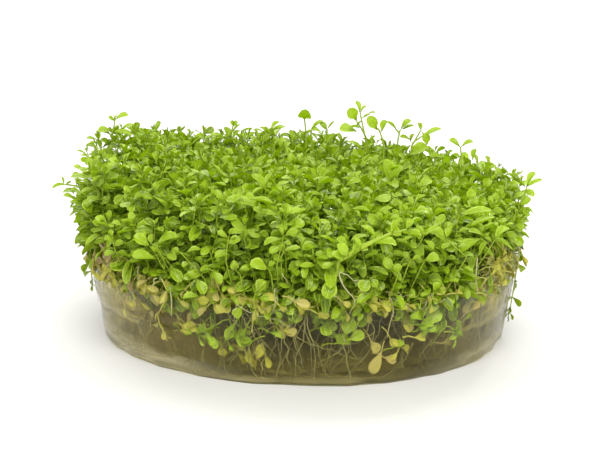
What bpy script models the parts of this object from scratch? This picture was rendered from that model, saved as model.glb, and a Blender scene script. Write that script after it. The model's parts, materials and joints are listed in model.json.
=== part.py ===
# Dwarf baby tears grown in a culture cup and lifted out of it: a disc of clear gel
# in the cup's shape, with a low cushion of small-leaved plants rooted in its top.
# Units are metres, +Z is up, and the origin is the middle of the gel's flat base.

import math
import random

import bmesh
import bpy
from mathutils import Matrix, Vector
from mathutils.bvhtree import BVHTree

# Driving sizes
GAP = 0.0003
GEL_HEIGHT = 0.0155
BASE_RADIUS = 0.0400
RIM_RADIUS = 0.0423
FOOT_HEIGHT = 0.0025
FOOT_INSET = 0.0016
RIM_BEVEL = 0.0005
FOLIAGE_RADIUS = 0.0440
CANOPY_HEIGHT = 0.0342
CANOPY_SLOPE_X = -0.075
CANOPY_SLOPE_Y = -0.030
CANOPY_RIM_DROP = 0.0025
LEAF_LENGTH = 0.0042
LEAF_WIDTH = 0.0031
STEM_RADIUS = 0.00035

# How finely the round forms are cut
GEL_SEGMENTS = 40
EDGE_SEGMENTS = 24
TUFT_SEGMENTS = 6

# The plants stand in rings: how many, how far out, and how many shoot tips each shows
PLANT_RINGS = (
    {"name": "plant_centre", "count": 1, "radius": 0.0, "top_tips": 4, "side_tips": 0},
    {"name": "plant_inner", "count": 5, "radius": 0.0175, "top_tips": 5, "side_tips": 0},
    {"name": "plant_outer", "count": 10, "radius": 0.0360, "top_tips": 3, "side_tips": 4},
)
SEAT_SCATTER = 0.0012

# A plant's dense middle: how far its border, its shoulder and its top lie under the leaf tips
BORDER_DEPTH = 0.0050
SHOULDER_DEPTH = 0.0026
CROWN_DEPTH = 0.0016
SHOULDER_SHARE = 0.62
SHORTEST_SIDE = 0.0014

# Shoot tips on that middle: how far apart at first and at least, how far off it, and how deep
# their stem goes in
TIP_SPACING_WIDE = 0.0105
TIP_SPACING_LEAST = 0.0050
TIP_STANDOFF = 0.0013
TIP_PIN = 0.0022
TIP_TRIES = 900

# Root tufts under the plants
TUFT_COUNT = 9
TUFT_RING_RADIUS = 0.0340
TUFT_TOP_RADIUS = 0.0039
TUFT_DEPTHS = (0.0110, 0.0132)

# The mat of old roots and stems in the middle of the gel: how far out it reaches at each height
ROOT_MAT_PROFILE = {0.0014: 0.0190, 0.0060: 0.0228, 0.0128: 0.0266, GEL_HEIGHT: 0.0266}
ROOT_MAT_SEGMENTS = 17
ROOT_MAT_LUMPS = 0.0007

# Shoots that stand clear of the cushion: where each is rooted and where its tip ends
SPRIG_LEAF = 0.0033
SPRIG_ROOT_DEPTH = 0.0060
SPRIGS = {
    "sprig_left_back": {"root": (-0.0380, 0.0080), "tip": (-0.0374, 0.0080, 0.0408), "pairs": 2},
    "sprig_left_low": {"root": (-0.0405, 0.0000), "tip": (-0.0480, -0.0005, 0.0290), "pairs": 2},
    "sprig_back_left": {"root": (-0.0150, 0.0300), "tip": (-0.0151, 0.0300, 0.0362), "pairs": 2},
    "sprig_back_middle": {"root": (-0.0070, 0.0270), "tip": (-0.0056, 0.0285, 0.0364), "pairs": 2},
    "sprig_round_leaf": {"root": (0.0002, 0.0220), "tip": (-0.0008, 0.0235, 0.0392), "pairs": 2},
    "sprig_tallest": {"root": (0.0125, 0.0235), "tip": (0.0102, 0.0220, 0.0420), "pairs": 3},
    "sprig_round_pair": {"root": (0.0155, 0.0165), "tip": (0.0140, 0.0160, 0.0395), "pairs": 2},
    "sprig_right_back": {"root": (0.0195, 0.0220), "tip": (0.0212, 0.0215, 0.0388), "pairs": 2},
    "sprig_right_lean": {"root": (0.0230, 0.0130), "tip": (0.0268, 0.0135, 0.0384), "pairs": 2},
    "sprig_right_fork": {"root": (0.0318, 0.0120), "tip": (0.0322, 0.0125, 0.0366), "pairs": 2},
    "sprig_right_edge": {"root": (0.0405, -0.0010), "tip": (0.0455, -0.0015, 0.0322), "pairs": 2},
}

# One long shoot leans across the front of the cushion
FRONT_SHOOT_LEAF = 0.0040
FRONT_SHOOT_POINTS = (
    (0.0062, -0.0452, 0.0222),
    (0.0105, -0.0464, 0.0255),
    (0.0155, -0.0462, 0.0285),
    (0.0205, -0.0448, 0.0308),
)

# Shoots that grew down between the gel and the cup, and still lie on the gel's wall:
# the turn round the gel in degrees from +X, and the heights of both ends
TRAILING_LEAF = 0.0031
TRAILING_REACH = 0.0011
TRAILING_SHOOTS = {
    "trailing_shoot_right": {"turn": -4.0, "heights": (0.0153, 0.0040)},
    "trailing_shoot_left": {"turn": 186.0, "heights": (0.0153, 0.0092)},
    "trailing_shoot_front": {"turn": 232.0, "heights": (0.0153, 0.0072)},
}

chance = random.Random(27)


# Help with scenes, materials and solids


def clear_scene():
    for old in list(bpy.data.objects):
        bpy.data.objects.remove(old)


def make_material(name, colour, roughness, transmission=0.0):
    made = bpy.data.materials.new(name)
    made.use_nodes = True
    made.diffuse_color = (*colour, 1.0)
    shader = made.node_tree.nodes["Principled BSDF"]
    shader.inputs["Base Color"].default_value = (*colour, 1.0)
    shader.inputs["Roughness"].default_value = roughness
    shader.inputs["Metallic"].default_value = 0.0
    shader.inputs["Transmission Weight"].default_value = transmission
    shader.inputs["IOR"].default_value = 1.34
    return made


def add_object(name, data, finish=None):
    made = bpy.data.objects.new(name, data)
    bpy.context.scene.collection.objects.link(made)
    if finish:
        set_finish(made, finish)
    return made


def set_finish(target, finish):
    target.data.materials.clear()
    target.data.materials.append(finish)


def face_outwards(data):
    shape = bmesh.new()
    shape.from_mesh(data)
    bmesh.ops.remove_doubles(shape, verts=shape.verts, dist=0.00001)
    bmesh.ops.recalc_face_normals(shape, faces=shape.faces)
    shape.to_mesh(data)
    shape.free()


def mesh_from(points, faces):
    """A closed mesh from corner points and faces, with every face turned outwards."""
    data = bpy.data.meshes.new("shape")
    data.from_pydata([tuple(p) for p in points], [], faces)
    face_outwards(data)
    return data


def ring_faces(level, count):
    """The band of four-sided faces between one ring of points and the next."""
    first = level * count
    faces = []
    for i in range(count):
        a = first + i
        b = first + (i + 1) % count
        faces.append((a, b, b + count, a + count))
    return faces


def combine(target, tools, operation):
    """Joins the tools to the target or cuts them from it, then removes them."""
    for tool in tools:
        step = target.modifiers.new(operation.title(), "BOOLEAN")
        step.operation = operation
        step.object = tool
    bpy.context.view_layer.update()
    graph = bpy.context.evaluated_depsgraph_get()
    result = bpy.data.meshes.new_from_object(target.evaluated_get(graph))
    target.modifiers.clear()
    target.data = result
    for tool in tools:
        bpy.data.objects.remove(tool)


def tube(name, points, radius, finish=None):
    """A four-sided stem with closed ends along a line of points."""
    line = bpy.data.curves.new(name, "CURVE")
    line.dimensions = "3D"
    line.bevel_depth = radius
    line.bevel_resolution = 0
    line.use_fill_caps = True
    spline = line.splines.new("POLY")
    spline.points.add(len(points) - 1)
    for knot, place in zip(spline.points, points):
        knot.co = (*place, 1.0)
    guide = bpy.data.objects.new(name + "_line", line)
    bpy.context.scene.collection.objects.link(guide)
    bpy.context.view_layer.update()
    data = bpy.data.meshes.new_from_object(guide)
    bpy.data.objects.remove(guide)
    face_outwards(data)
    return add_object(name, data, finish)


# The gel disc


def gel_wall_radius(height):
    """Distance from the axis to the gel's wall, which widens upwards from a rounded foot."""
    rise = min(max(height, 0.0) / GEL_HEIGHT, 1.0)
    wall = BASE_RADIUS + (RIM_RADIUS - BASE_RADIUS) * rise
    return wall - FOOT_INSET * max(0.0, 1.0 - height / FOOT_HEIGHT) ** 2


def gel_mesh():
    """Rings of points from the base to the rim, with the slight waves of a soft moulded wall."""
    heights = (0.0, 0.3 * FOOT_HEIGHT, FOOT_HEIGHT, GEL_HEIGHT - RIM_BEVEL, GEL_HEIGHT)
    points, faces = [], []
    for height in heights:
        inset = RIM_BEVEL if height == GEL_HEIGHT else 0.0
        for i in range(GEL_SEGMENTS):
            turn = math.tau * i / GEL_SEGMENTS
            wave = 0.00018 * math.sin(5 * turn + 0.8) + 0.00012 * math.sin(9 * turn + 260 * height)
            reach = gel_wall_radius(height) - inset + wave
            points.append((reach * math.cos(turn), reach * math.sin(turn), height))
    for level in range(len(heights) - 1):
        faces += ring_faces(level, GEL_SEGMENTS)
    faces.append(tuple(range(GEL_SEGMENTS)))
    faces.append(tuple(range(len(points) - GEL_SEGMENTS, len(points))))
    return mesh_from(points, faces)


# The mat of old roots in the gel, and the root tufts, which taper down into the gel


def root_mat_mesh(grow=0.0):
    """The lumpy mat in the middle, up to the gel's top. A grown copy cuts its pocket."""
    points, faces = [], []
    for height, radius in ROOT_MAT_PROFILE.items():
        level = height - grow
        if height == GEL_HEIGHT:
            level = height + 4 * grow
        for i in range(ROOT_MAT_SEGMENTS):
            turn = math.tau * i / ROOT_MAT_SEGMENTS
            lump = ROOT_MAT_LUMPS * (math.sin(3 * turn + 1.1) + 0.7 * math.sin(5 * turn + 2.0))
            reach = radius + lump + grow
            points.append((reach * math.cos(turn), reach * math.sin(turn), level))
    for level in range(len(ROOT_MAT_PROFILE) - 1):
        faces += ring_faces(level, ROOT_MAT_SEGMENTS)
    faces.append(tuple(range(ROOT_MAT_SEGMENTS)))
    faces.append(tuple(range(len(points) - ROOT_MAT_SEGMENTS, len(points))))
    return mesh_from(points, faces)


def tuft_mesh(place, depth, grow=0.0):
    """A tapering bundle of roots, from the gel's top down. A grown copy cuts its pocket."""
    levels = {GEL_HEIGHT + 4 * grow: 1.0, GEL_HEIGHT - 0.45 * depth: 0.72, GEL_HEIGHT - 0.85 * depth: 0.34}
    sway = Vector((place.x + 0.001, place.y)).normalized() * 0.0012
    points, faces = [], []
    for height, share in levels.items():
        reach = TUFT_TOP_RADIUS * share + grow
        middle = place + sway * (1.0 - share)
        for i in range(TUFT_SEGMENTS):
            turn = math.tau * i / TUFT_SEGMENTS + 0.3
            points.append((middle.x + reach * math.cos(turn), middle.y + reach * math.sin(turn), height))
    for level in range(len(levels) - 1):
        faces += ring_faces(level, TUFT_SEGMENTS)
    tip = len(points)
    points.append((*(place + sway * 0.8), GEL_HEIGHT - depth - grow))
    for i in range(TUFT_SEGMENTS):
        faces.append((tip - TUFT_SEGMENTS + i, tip - TUFT_SEGMENTS + (i + 1) % TUFT_SEGMENTS, tip))
    faces.append(tuple(range(TUFT_SEGMENTS)))
    return mesh_from(points, faces)


def build_gel_and_roots(gel_finish, root_finish, mat_finish):
    """The gel with an open pocket for the mat and each outer tuft. The middle tuft stands in the mat."""
    gel = add_object("gel_medium", gel_mesh())
    mat = add_object("root_mat", root_mat_mesh())
    spots = {"root_tuft_centre": Vector((0.0, 0.0))}
    for i in range(TUFT_COUNT):
        turn = math.tau * (i + 0.5) / TUFT_COUNT
        spots[f"root_tuft_{i + 1}"] = Vector((math.cos(turn), math.sin(turn))) * TUFT_RING_RADIUS
    pockets = [add_object("root_mat_pocket", root_mat_mesh(GAP))]
    for name, place in spots.items():
        depth = chance.uniform(*TUFT_DEPTHS)
        add_object(name, tuft_mesh(place, depth), root_finish)
        pocket = add_object(name + "_pocket", tuft_mesh(place, depth, GAP))
        if name == "root_tuft_centre":
            combine(mat, [pocket], "DIFFERENCE")
        else:
            pockets.append(pocket)
    combine(gel, pockets, "DIFFERENCE")
    set_finish(gel, gel_finish)
    set_finish(mat, mat_finish)


# The cushion of plants


def canopy(x, y):
    """Height of the leaf tips over a point of the gel."""
    out = math.hypot(x, y) / FOLIAGE_RADIUS
    swell = 0.0009 * math.sin(170 * x + 0.6) * math.cos(150 * y + 1.1)
    slope = CANOPY_SLOPE_X * x + CANOPY_SLOPE_Y * y
    return CANOPY_HEIGHT + slope - CANOPY_RIM_DROP * out**4 + swell


def plant_seats():
    """Names and middles of all plants, set a little off an even pattern."""
    seats = []
    for ring in PLANT_RINGS:
        for i in range(ring["count"]):
            turn = math.tau * (i + 0.5 * (ring["count"] % 4)) / ring["count"] + chance.uniform(-0.06, 0.06)
            out = ring["radius"] + chance.uniform(-SEAT_SCATTER, SEAT_SCATTER)
            name = ring["name"] if ring["count"] == 1 else f"{ring['name']}_{i + 1}"
            seats.append({**ring, "name": name, "middle": Vector((math.cos(turn), math.sin(turn))) * out})
    return seats


def clip(outline, point, normal):
    """The part of a convex outline that lies behind the line through the point."""
    kept = []
    for here, after in zip(outline, outline[1:] + outline[:1]):
        depth_here = (here - point).dot(normal)
        depth_after = (after - point).dot(normal)
        if depth_here <= 0:
            kept.append(here)
        if depth_here * depth_after < 0:
            kept.append(here.lerp(after, depth_here / (depth_here - depth_after)))
    return kept


def plant_territory(seat, seats):
    """The ground that is nearer to this plant than to any other, and its straight borders."""
    turns = [math.tau * i / EDGE_SEGMENTS for i in range(EDGE_SEGMENTS)]
    outline = [Vector((math.cos(turn), math.sin(turn))) * FOLIAGE_RADIUS for turn in turns]
    borders = []
    for other in seats:
        if other is seat:
            continue
        normal = (other["middle"] - seat["middle"]).normalized()
        point = (other["middle"] + seat["middle"]) / 2 - normal * 0.7 * GAP
        outline = clip(outline, point, normal)
        borders.append((point, normal))
    return outline, borders


def clump_mesh(outline):
    """The dense middle of one plant: upright sides, bulging at the cushion's edge, under a dome."""
    pairs = zip(outline, outline[1:] + outline[:1])
    outline = [here for here, after in pairs if (after - here).length > SHORTEST_SIDE]
    count = len(outline)
    middle = sum(outline, Vector((0.0, 0.0))) / count
    tuck = [0.95 if corner.length > 0.97 * FOLIAGE_RADIUS else 1.0 for corner in outline]
    floor = GEL_HEIGHT + GAP
    points, faces = [], []
    for corner, pull in zip(outline, tuck):
        points.append((*(corner * (0.5 + 0.5 * pull)), floor))
    for corner in outline:
        points.append((*corner, floor + 0.45 * (canopy(*corner) - floor)))
    for corner, pull in zip(outline, tuck):
        points.append((*(corner * pull), canopy(*corner) - BORDER_DEPTH))
    for corner in outline:
        inner = middle.lerp(corner, SHOULDER_SHARE)
        points.append((*inner, canopy(*inner) - SHOULDER_DEPTH))
    points.append((*middle, canopy(*middle) - CROWN_DEPTH))
    for level in range(3):
        faces += ring_faces(level, count)
    for i in range(count):
        faces.append((3 * count + i, 3 * count + (i + 1) % count, 4 * count))
    faces.append(tuple(range(count)))
    return mesh_from(points, faces)


def shoot_tip(long_leaf, short_leaf, width, lift):
    """Corners and faces of a shoot tip: a long and a short pair of leaves crossed on a stem's end."""
    long_edge = ((0.42, -1.0), (0.93, -0.5), (0.93, 0.5), (0.42, 1.0))
    short_edge = ((0.45, -1.0), (1.0, 0.0), (0.45, 1.0))
    points, faces = [Vector((0.0, 0.0, 0.0))], []
    outline, collar, foot = [], [], []
    for k in range(4):
        length = short_leaf if k % 2 else long_leaf
        half = 0.5 * width * length / long_leaf
        heading = Matrix.Rotation(k * math.pi / 2, 3, "Z")
        lobe = [heading @ Vector((0.0006, -0.0006, -0.0001))]
        for along, across in short_edge if k % 2 else long_edge:
            lobe.append(heading @ Vector((along * length, across * half, along * length * lift)))
        outline.append([len(points) + n for n in range(len(lobe))])
        points += lobe
    for k in range(4):
        corner = Matrix.Rotation(k * math.pi / 2, 3, "Z") @ Vector((STEM_RADIUS, -STEM_RADIUS, -0.0007))
        collar.append(len(points))
        foot.append(len(points) + 1)
        points += [corner, corner - Vector((0.0, 0.0, TIP_PIN))]
    for k in range(4):
        after = (k + 1) % 4
        edge = outline[k] + outline[after][:1]
        for a, b in zip(edge, edge[1:]):
            faces += [(0, a, b), (collar[k], a, b)]
        faces.append((collar[k], edge[-1], collar[after]))
        faces.append((collar[k], collar[after], foot[after], foot[k]))
    faces.append(tuple(foot))
    return points, faces


def clear_of_gel(place):
    return place.z > GEL_HEIGHT + GAP or math.hypot(place.x, place.y) > RIM_RADIUS + 2 * GAP


def tip_fits(points, faces, borders, obstacles):
    """True if a shoot tip keeps to its plant's ground, off the gel and clear of the free shoots."""
    for place in points:
        flat = Vector((place.x, place.y))
        if not clear_of_gel(place) or any((flat - point).dot(normal) > -0.0001 for point, normal in borders):
            return False
    tip_tree = BVHTree.FromPolygons(points, faces)
    return not any(tree.overlap(tip_tree) for tree in obstacles)


def tip_spot(kind, middle, tree):
    """A chance place for a shoot tip on the plant's top or outer side, and the way it faces."""
    spot = middle + Vector((chance.uniform(-1, 1), chance.uniform(-1, 1))) * 0.0135
    outward = Vector((spot.x, spot.y, 0.0)).normalized()
    up = Vector((0, 0, 1))
    if kind == "top":
        hit = tree.ray_cast(Vector((spot.x, spot.y, 2 * CANOPY_HEIGHT)), -up)[0]
        facing = up + outward * 0.9 * min(spot.length / FOLIAGE_RADIUS, 1.0) ** 3
    else:
        height = chance.uniform(GEL_HEIGHT + 0.001, CANOPY_HEIGHT - 0.004)
        hit = tree.ray_cast(outward * 2 * FOLIAGE_RADIUS + up * height, -outward)[0]
        facing = outward + up * 0.35
    facing += Vector([chance.uniform(-0.3, 0.3) for _ in range(3)])
    return hit, facing.normalized()


def add_shoot_tips(seat, clump, borders, obstacles):
    """Sets shoot tips over one plant's dome and its outer side, each turned and tilted its own way."""
    corners = [v.co.copy() for v in clump.data.vertices]
    tree = BVHTree.FromPolygons(corners, [tuple(f.vertices) for f in clump.data.polygons])
    centres, tips = [], []
    wanted = {"top": seat["top_tips"], "side": seat["side_tips"]}
    for kind in wanted:
        for attempt in range(TIP_TRIES):
            if wanted[kind] == 0:
                break
            spread = attempt / TIP_TRIES
            spacing = TIP_SPACING_WIDE + (TIP_SPACING_LEAST - TIP_SPACING_WIDE) * spread
            hit, facing = tip_spot(kind, seat["middle"], tree)
            if hit is None:
                continue
            centre = hit + facing * TIP_STANDOFF
            if any((centre - other).length < spacing for other in centres):
                continue
            size = chance.uniform(0.88, 1.12)
            short_leaf = LEAF_LENGTH * size * chance.uniform(0.68, 0.9)
            lift = chance.uniform(0.1, 0.45)
            shape, faces = shoot_tip(LEAF_LENGTH * size, short_leaf, LEAF_WIDTH * size, lift)
            spin = Matrix.Rotation(chance.uniform(0, math.tau), 3, "Z")
            turned = facing.to_track_quat("Z", "Y").to_matrix() @ spin
            placed = [centre + turned @ p for p in shape]
            if tip_fits(placed, faces, borders, obstacles):
                centres.append(centre)
                tips.append(add_object("tip", mesh_from(placed, faces)))
                wanted[kind] -= 1
    combine(clump, tips, "UNION")


# Single leaves and the shoots that stand clear


def leaf_mesh(base, heading, facing, length):
    """One small spoon-shaped leaf from base towards heading, its upper side turned to facing."""
    outline = ((0.0, 0.0), (0.38, -0.45), (0.86, -0.34), (0.86, 0.34), (0.38, 0.45))
    width = length * LEAF_WIDTH / LEAF_LENGTH
    along = heading.normalized()
    across = facing.cross(along).normalized()
    upward = along.cross(across)
    points = []
    for a, b in outline:
        points.append(base + along * (a * length) + across * (b * width) + upward * (0.1 * a * length))
    points.append(base + along * (0.5 * length) + upward * (0.09 * length))
    points.append(base + along * (0.5 * length) - upward * (0.05 * length))
    count = len(outline)
    faces = []
    for i in range(count):
        faces += [(i, (i + 1) % count, count), (i, (i + 1) % count, count + 1)]
    return mesh_from(points, faces)


def leafy_shoot(name, line, pairs, length, facing, finish):
    """A stem along a line with pairs of leaves down it from the tip, all joined in one solid."""
    stem = tube(name, line, STEM_RADIUS, finish)
    leaves = []
    for k in range(pairs):
        share = (0.97 - 0.36 * k) * (len(line) - 1)
        low = min(int(share), len(line) - 2)
        along = (line[low + 1] - line[low]).normalized()
        base = line[low].lerp(line[low + 1], share - low)
        side = facing.cross(along).normalized()
        rise = 0.75 if k == 0 else 0.35
        size = 0.85 * length if k == 0 else length
        for sign in (-1, 1):
            leaves.append(add_object("leaf", leaf_mesh(base, side * sign + along * rise, facing, size)))
    combine(stem, leaves, "UNION")
    set_finish(stem, finish)


def bent_line(start, end, bend, steps=3):
    """Points of a smooth line from start to end, bowed by bend at its middle."""
    middle = (start + end) / 2 + bend
    points = []
    for i in range(steps + 1):
        t = i / steps
        points.append(start * (1 - t) ** 2 + middle * (2 * t * (1 - t)) + end * t**2)
    return points


def build_sprigs(finish):
    """The standing sprigs. Returns a thicker copy of each stem, which bores its seat in the cushion."""
    seat_cutters = []
    for name, spec in SPRIGS.items():
        x, y = spec["root"]
        root = Vector((x, y, canopy(x, y) - SPRIG_ROOT_DEPTH))
        tip = Vector(spec["tip"])
        line = bent_line(root, tip, Vector((0.0, 0.0, 0.15 * (tip - root).length)))
        leafy_shoot(name, line, spec["pairs"], SPRIG_LEAF, Vector((0.25, -1.0, 0.35)), finish)
        seat_line = [line[0] - (line[1] - line[0]).normalized() * 2 * GAP] + line[1:]
        seat_cutters.append(tube(name + "_seat", seat_line, STEM_RADIUS + 2 * GAP))
    return seat_cutters


def build_edge_shoots(finish):
    """The long shoot across the front and the shoots that lie down the gel's wall."""
    front = [Vector(p) for p in FRONT_SHOOT_POINTS]
    leafy_shoot("front_long_shoot", front, 3, FRONT_SHOOT_LEAF, Vector((0.1, -1.0, 0.3)), finish)
    for name, spec in TRAILING_SHOOTS.items():
        high, low = spec["heights"]
        outward = Vector((math.cos(math.radians(spec["turn"])), math.sin(math.radians(spec["turn"])), 0.0))
        line = []
        for i in range(4):
            height = high + (low - high) * i / 3
            turn = math.radians(spec["turn"] + 0.5 * math.sin(2.2 * i))
            reach = gel_wall_radius(height) + TRAILING_REACH
            line.append(Vector((reach * math.cos(turn), reach * math.sin(turn), height)))
        leafy_shoot(name, line, 3, TRAILING_LEAF, outward, finish)


def swollen_tree(solid):
    """A search tree of a solid swollen by a little more than the gap that pieces keep."""
    points = [v.co + v.normal * 1.5 * GAP for v in solid.data.vertices]
    return BVHTree.FromPolygons(points, [tuple(f.vertices) for f in solid.data.polygons])


def main():
    clear_scene()
    gel_finish = make_material("culture_gel", (0.60, 0.56, 0.42), 0.12, transmission=0.9)
    leaf_finish = make_material("leaf", (0.26, 0.46, 0.04), 0.38)
    young_finish = make_material("young_leaf", (0.42, 0.62, 0.07), 0.36)
    root_finish = make_material("root", (0.78, 0.76, 0.58), 0.5)
    mat_finish = make_material("old_root", (0.10, 0.09, 0.045), 0.8)

    build_gel_and_roots(gel_finish, root_finish, mat_finish)
    seat_cutters = build_sprigs(young_finish)
    build_edge_shoots(young_finish)
    free_names = [*SPRIGS, *TRAILING_SHOOTS, "front_long_shoot"]
    obstacles = [swollen_tree(bpy.data.objects[name]) for name in free_names]

    seats = plant_seats()
    for seat in seats:
        outline, borders = plant_territory(seat, seats)
        clump = add_object(seat["name"], clump_mesh(outline))
        add_shoot_tips(seat, clump, borders, obstacles)
        bores = [add_object("bore", cutter.data.copy()) for cutter in seat_cutters]
        combine(clump, bores, "DIFFERENCE")
        set_finish(clump, leaf_finish)
    for cutter in seat_cutters:
        bpy.data.objects.remove(cutter)


main()
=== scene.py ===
import json
import math
import random

import bpy
from mathutils import Matrix, Vector, noise

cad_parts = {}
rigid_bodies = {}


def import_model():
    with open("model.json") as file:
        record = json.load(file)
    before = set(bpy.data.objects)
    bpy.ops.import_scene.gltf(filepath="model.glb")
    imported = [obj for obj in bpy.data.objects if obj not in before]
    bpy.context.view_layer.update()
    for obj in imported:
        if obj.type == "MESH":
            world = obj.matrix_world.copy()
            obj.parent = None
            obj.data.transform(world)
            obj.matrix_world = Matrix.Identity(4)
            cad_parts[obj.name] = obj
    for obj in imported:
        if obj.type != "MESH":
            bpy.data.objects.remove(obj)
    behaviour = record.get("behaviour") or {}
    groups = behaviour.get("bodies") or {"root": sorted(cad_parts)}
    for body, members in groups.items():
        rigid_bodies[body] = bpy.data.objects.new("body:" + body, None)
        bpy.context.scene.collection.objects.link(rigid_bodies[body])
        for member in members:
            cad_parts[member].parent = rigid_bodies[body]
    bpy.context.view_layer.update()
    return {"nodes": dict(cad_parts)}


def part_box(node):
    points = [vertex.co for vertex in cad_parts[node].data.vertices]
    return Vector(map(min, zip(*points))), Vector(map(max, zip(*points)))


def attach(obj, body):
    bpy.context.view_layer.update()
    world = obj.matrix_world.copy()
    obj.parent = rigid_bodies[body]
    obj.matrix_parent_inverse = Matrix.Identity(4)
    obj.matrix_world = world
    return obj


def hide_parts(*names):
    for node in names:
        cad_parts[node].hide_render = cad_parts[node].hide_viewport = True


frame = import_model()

scene = bpy.context.scene
tau = math.tau


# one class wraps a socket, one wraps a tree of nodes
class Wire:
    def __init__(self, web, socket):
        self.web, self.socket = web, socket

    def calc(self, operation, *values):
        return self.web.wire("ShaderNodeMath", {"operation": operation}, dict(enumerate(values)))

    def __add__(self, other): return self.calc("ADD", self, other)
    def __radd__(self, other): return self.calc("ADD", other, self)
    def __sub__(self, other): return self.calc("SUBTRACT", self, other)
    def __rsub__(self, other): return self.calc("SUBTRACT", other, self)
    def __mul__(self, other): return self.calc("MULTIPLY", self, other)
    def __rmul__(self, other): return self.calc("MULTIPLY", other, self)
    def __abs__(self): return self.calc("ABSOLUTE", self)


class Web:
    def __init__(self, tree):
        self.tree = tree

    def node(self, kind, settings=None, sockets=None):
        made = self.tree.nodes.new(kind)
        for name, value in (settings or {}).items():
            setattr(made, name, value)
        for name, value in (sockets or {}).items():
            if isinstance(value, Wire):
                self.tree.links.new(value.socket, made.inputs[name])
            elif isinstance(value, (list, tuple)) and value and isinstance(value[0], Wire):
                for part in value:
                    self.tree.links.new(part.socket, made.inputs[name])
            else:
                made.inputs[name].default_value = value
        return made

    def wire(self, kind, settings=None, sockets=None, out=0):
        return Wire(self, self.node(kind, settings, sockets).outputs[out])

    def ramp(self, value, low, high, start=0.0, end=1.0):
        return self.wire("ShaderNodeMapRange", {"interpolation_type": "SMOOTHSTEP"}, {
            0: value, 1: low, 2: high, 3: start, 4: end})

    def layers(self, colours, first, *coats):
        # the named colour, and over it one coat after another: (mask, name)
        base = colours[first]
        for mask, name in coats:
            base = self.wire("ShaderNodeMix", {"data_type": "RGBA"}, {0: mask, 6: base, 7: colours[name]}, out=2)
        return base

    def place(self):
        return self.wire("ShaderNodeTexCoord", out="Object")

    def axis(self, vector, name):
        return self.wire("ShaderNodeSeparateXYZ", {}, {0: vector}, out=name)

    def stretched(self, place, scale):
        return self.wire("ShaderNodeMapping", {}, {"Vector": place, "Scale": scale})

    def grain(self, place, scale, detail=2.0, roughness=0.5):
        return self.wire("ShaderNodeTexNoise", {}, {
            "Vector": place, "Scale": scale, "Detail": detail, "Roughness": roughness})

    def stored(self, name):
        return self.wire("ShaderNodeAttribute", {"attribute_name": name}, out="Fac")

    def bump(self, height, depth, strength=1.0):
        return self.wire("ShaderNodeBump", {}, {"Strength": strength, "Distance": depth, "Height": height})

    def principled(self, sockets):
        return self.wire("ShaderNodeBsdfPrincipled", {}, sockets)

    def mixShader(self, share, first, second):
        return self.wire("ShaderNodeMixShader", {}, {0: share, 1: first, 2: second})

    def glowing(self, skin, finish, share):
        # part of the light goes through, as in a leaf
        return self.mixShader(share, skin, self.wire("ShaderNodeBsdfTranslucent", {}, {"Color": finish["glow"]}))

    def output(self, surface, finish=None, inside=None):
        # a lamp's rays meet a clear tint instead of the surface, and so reach what lies behind it
        if finish:
            lamps = self.wire("ShaderNodeLightPath", out="Is Shadow Ray")
            clear = self.wire("ShaderNodeBsdfTransparent", {}, {"Color": finish["lampTint"]})
            surface = self.mixShader(lamps, surface, clear)
        self.node("ShaderNodeOutputMaterial", {}, {"Surface": surface, **(inside or {})})


def colour(red, green, blue):
    return (red, green, blue, 1.0)


def newMaterial(name):
    made = bpy.data.materials.new(name)
    made.use_nodes = True
    made.node_tree.nodes.clear()
    return made, Web(made.node_tree)


# leaf and stem tissue: waxy, wet skin over a blade that light shines through
leafFinish = {
    "deep": colour(0.095, 0.160, 0.001),
    "fresh": colour(0.355, 0.505, 0.003),
    "young": colour(0.560, 0.720, 0.060),
    "stem": colour(0.360, 0.470, 0.030),
    "rib": colour(0.560, 0.710, 0.100),
    # edge: a paler rim, partly the blade's own margin and partly a painted highlight that the rims catch
    "edge": colour(0.660, 0.800, 0.110),
    # paintedSheen: pale patches painted on the upper face as a painted sheen, for the reflection of the bright
    # surroundings on the wet skin
    "paintedSheen": colour(0.700, 0.830, 0.300),
    "under": colour(0.360, 0.500, 0.040),
    "glow": colour(0.680, 0.840, 0.030),
    "lampTint": colour(0.21, 0.28, 0.010),
    "glowShare": 0.36,
    "roughness": 0.36,
    "coat": 0.34,
    "blotch": 0.7,  # how far blotches move the tint
    "paintedFootShade": 0.30,  # painted shade: how much paler a blade gets towards its tip, and darker at its foot by the stem
    "shares": {"under": 0.45, "paintedSheen": 0.36, "rib": 0.55, "vein": 0.22, "edge": 0.80, "stem": 0.8},
    "relief": {"cup": 1.0, "rib": -0.22, "vein": -0.10, "fine": 0.15},
}
agedFinish = {
    "brown": colour(0.480, 0.330, 0.190),
    "ochre": colour(0.620, 0.550, 0.190),
    "yellow": colour(0.680, 0.700, 0.080),
    "rib": colour(0.560, 0.500, 0.240),
    # edge: a paler rim, partly the blade's own margin and partly a painted highlight
    "edge": colour(0.560, 0.500, 0.260),
    # paintedSheen: pale patches painted on the blade as a painted sheen, for the reflection on its skin
    "paintedSheen": colour(0.680, 0.600, 0.360),
    "glow": colour(0.840, 0.800, 0.300),
    "lampTint": colour(0.60, 0.56, 0.20),
    "glowShare": 0.36,
    "roughness": 0.5,
    "coat": 0.15,
    "blotch": 0.9,
    "shares": {"paintedSheen": 0.4, "rib": 0.5, "vein": 0.2, "edge": 0.3},
    "relief": {"cup": 1.2, "rib": -0.25, "vein": -0.15, "fine": 0.4},
}
# the UV map of a blade: its upper face in the left half and its lower face in the right half, root to tip along Y
bladeChart = {"upper": 0.25, "lower": 0.75, "halfWidth": 0.222, "toSide": 4.5}
bladePattern = {"veinPairs": 5.5, "veinSlant": 1.6, "cupGrain": 1100.0, "reliefDepth": 0.00026, "ior": 1.42,
                "specular": 0.4, "coatRoughness": 0.07}


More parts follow.
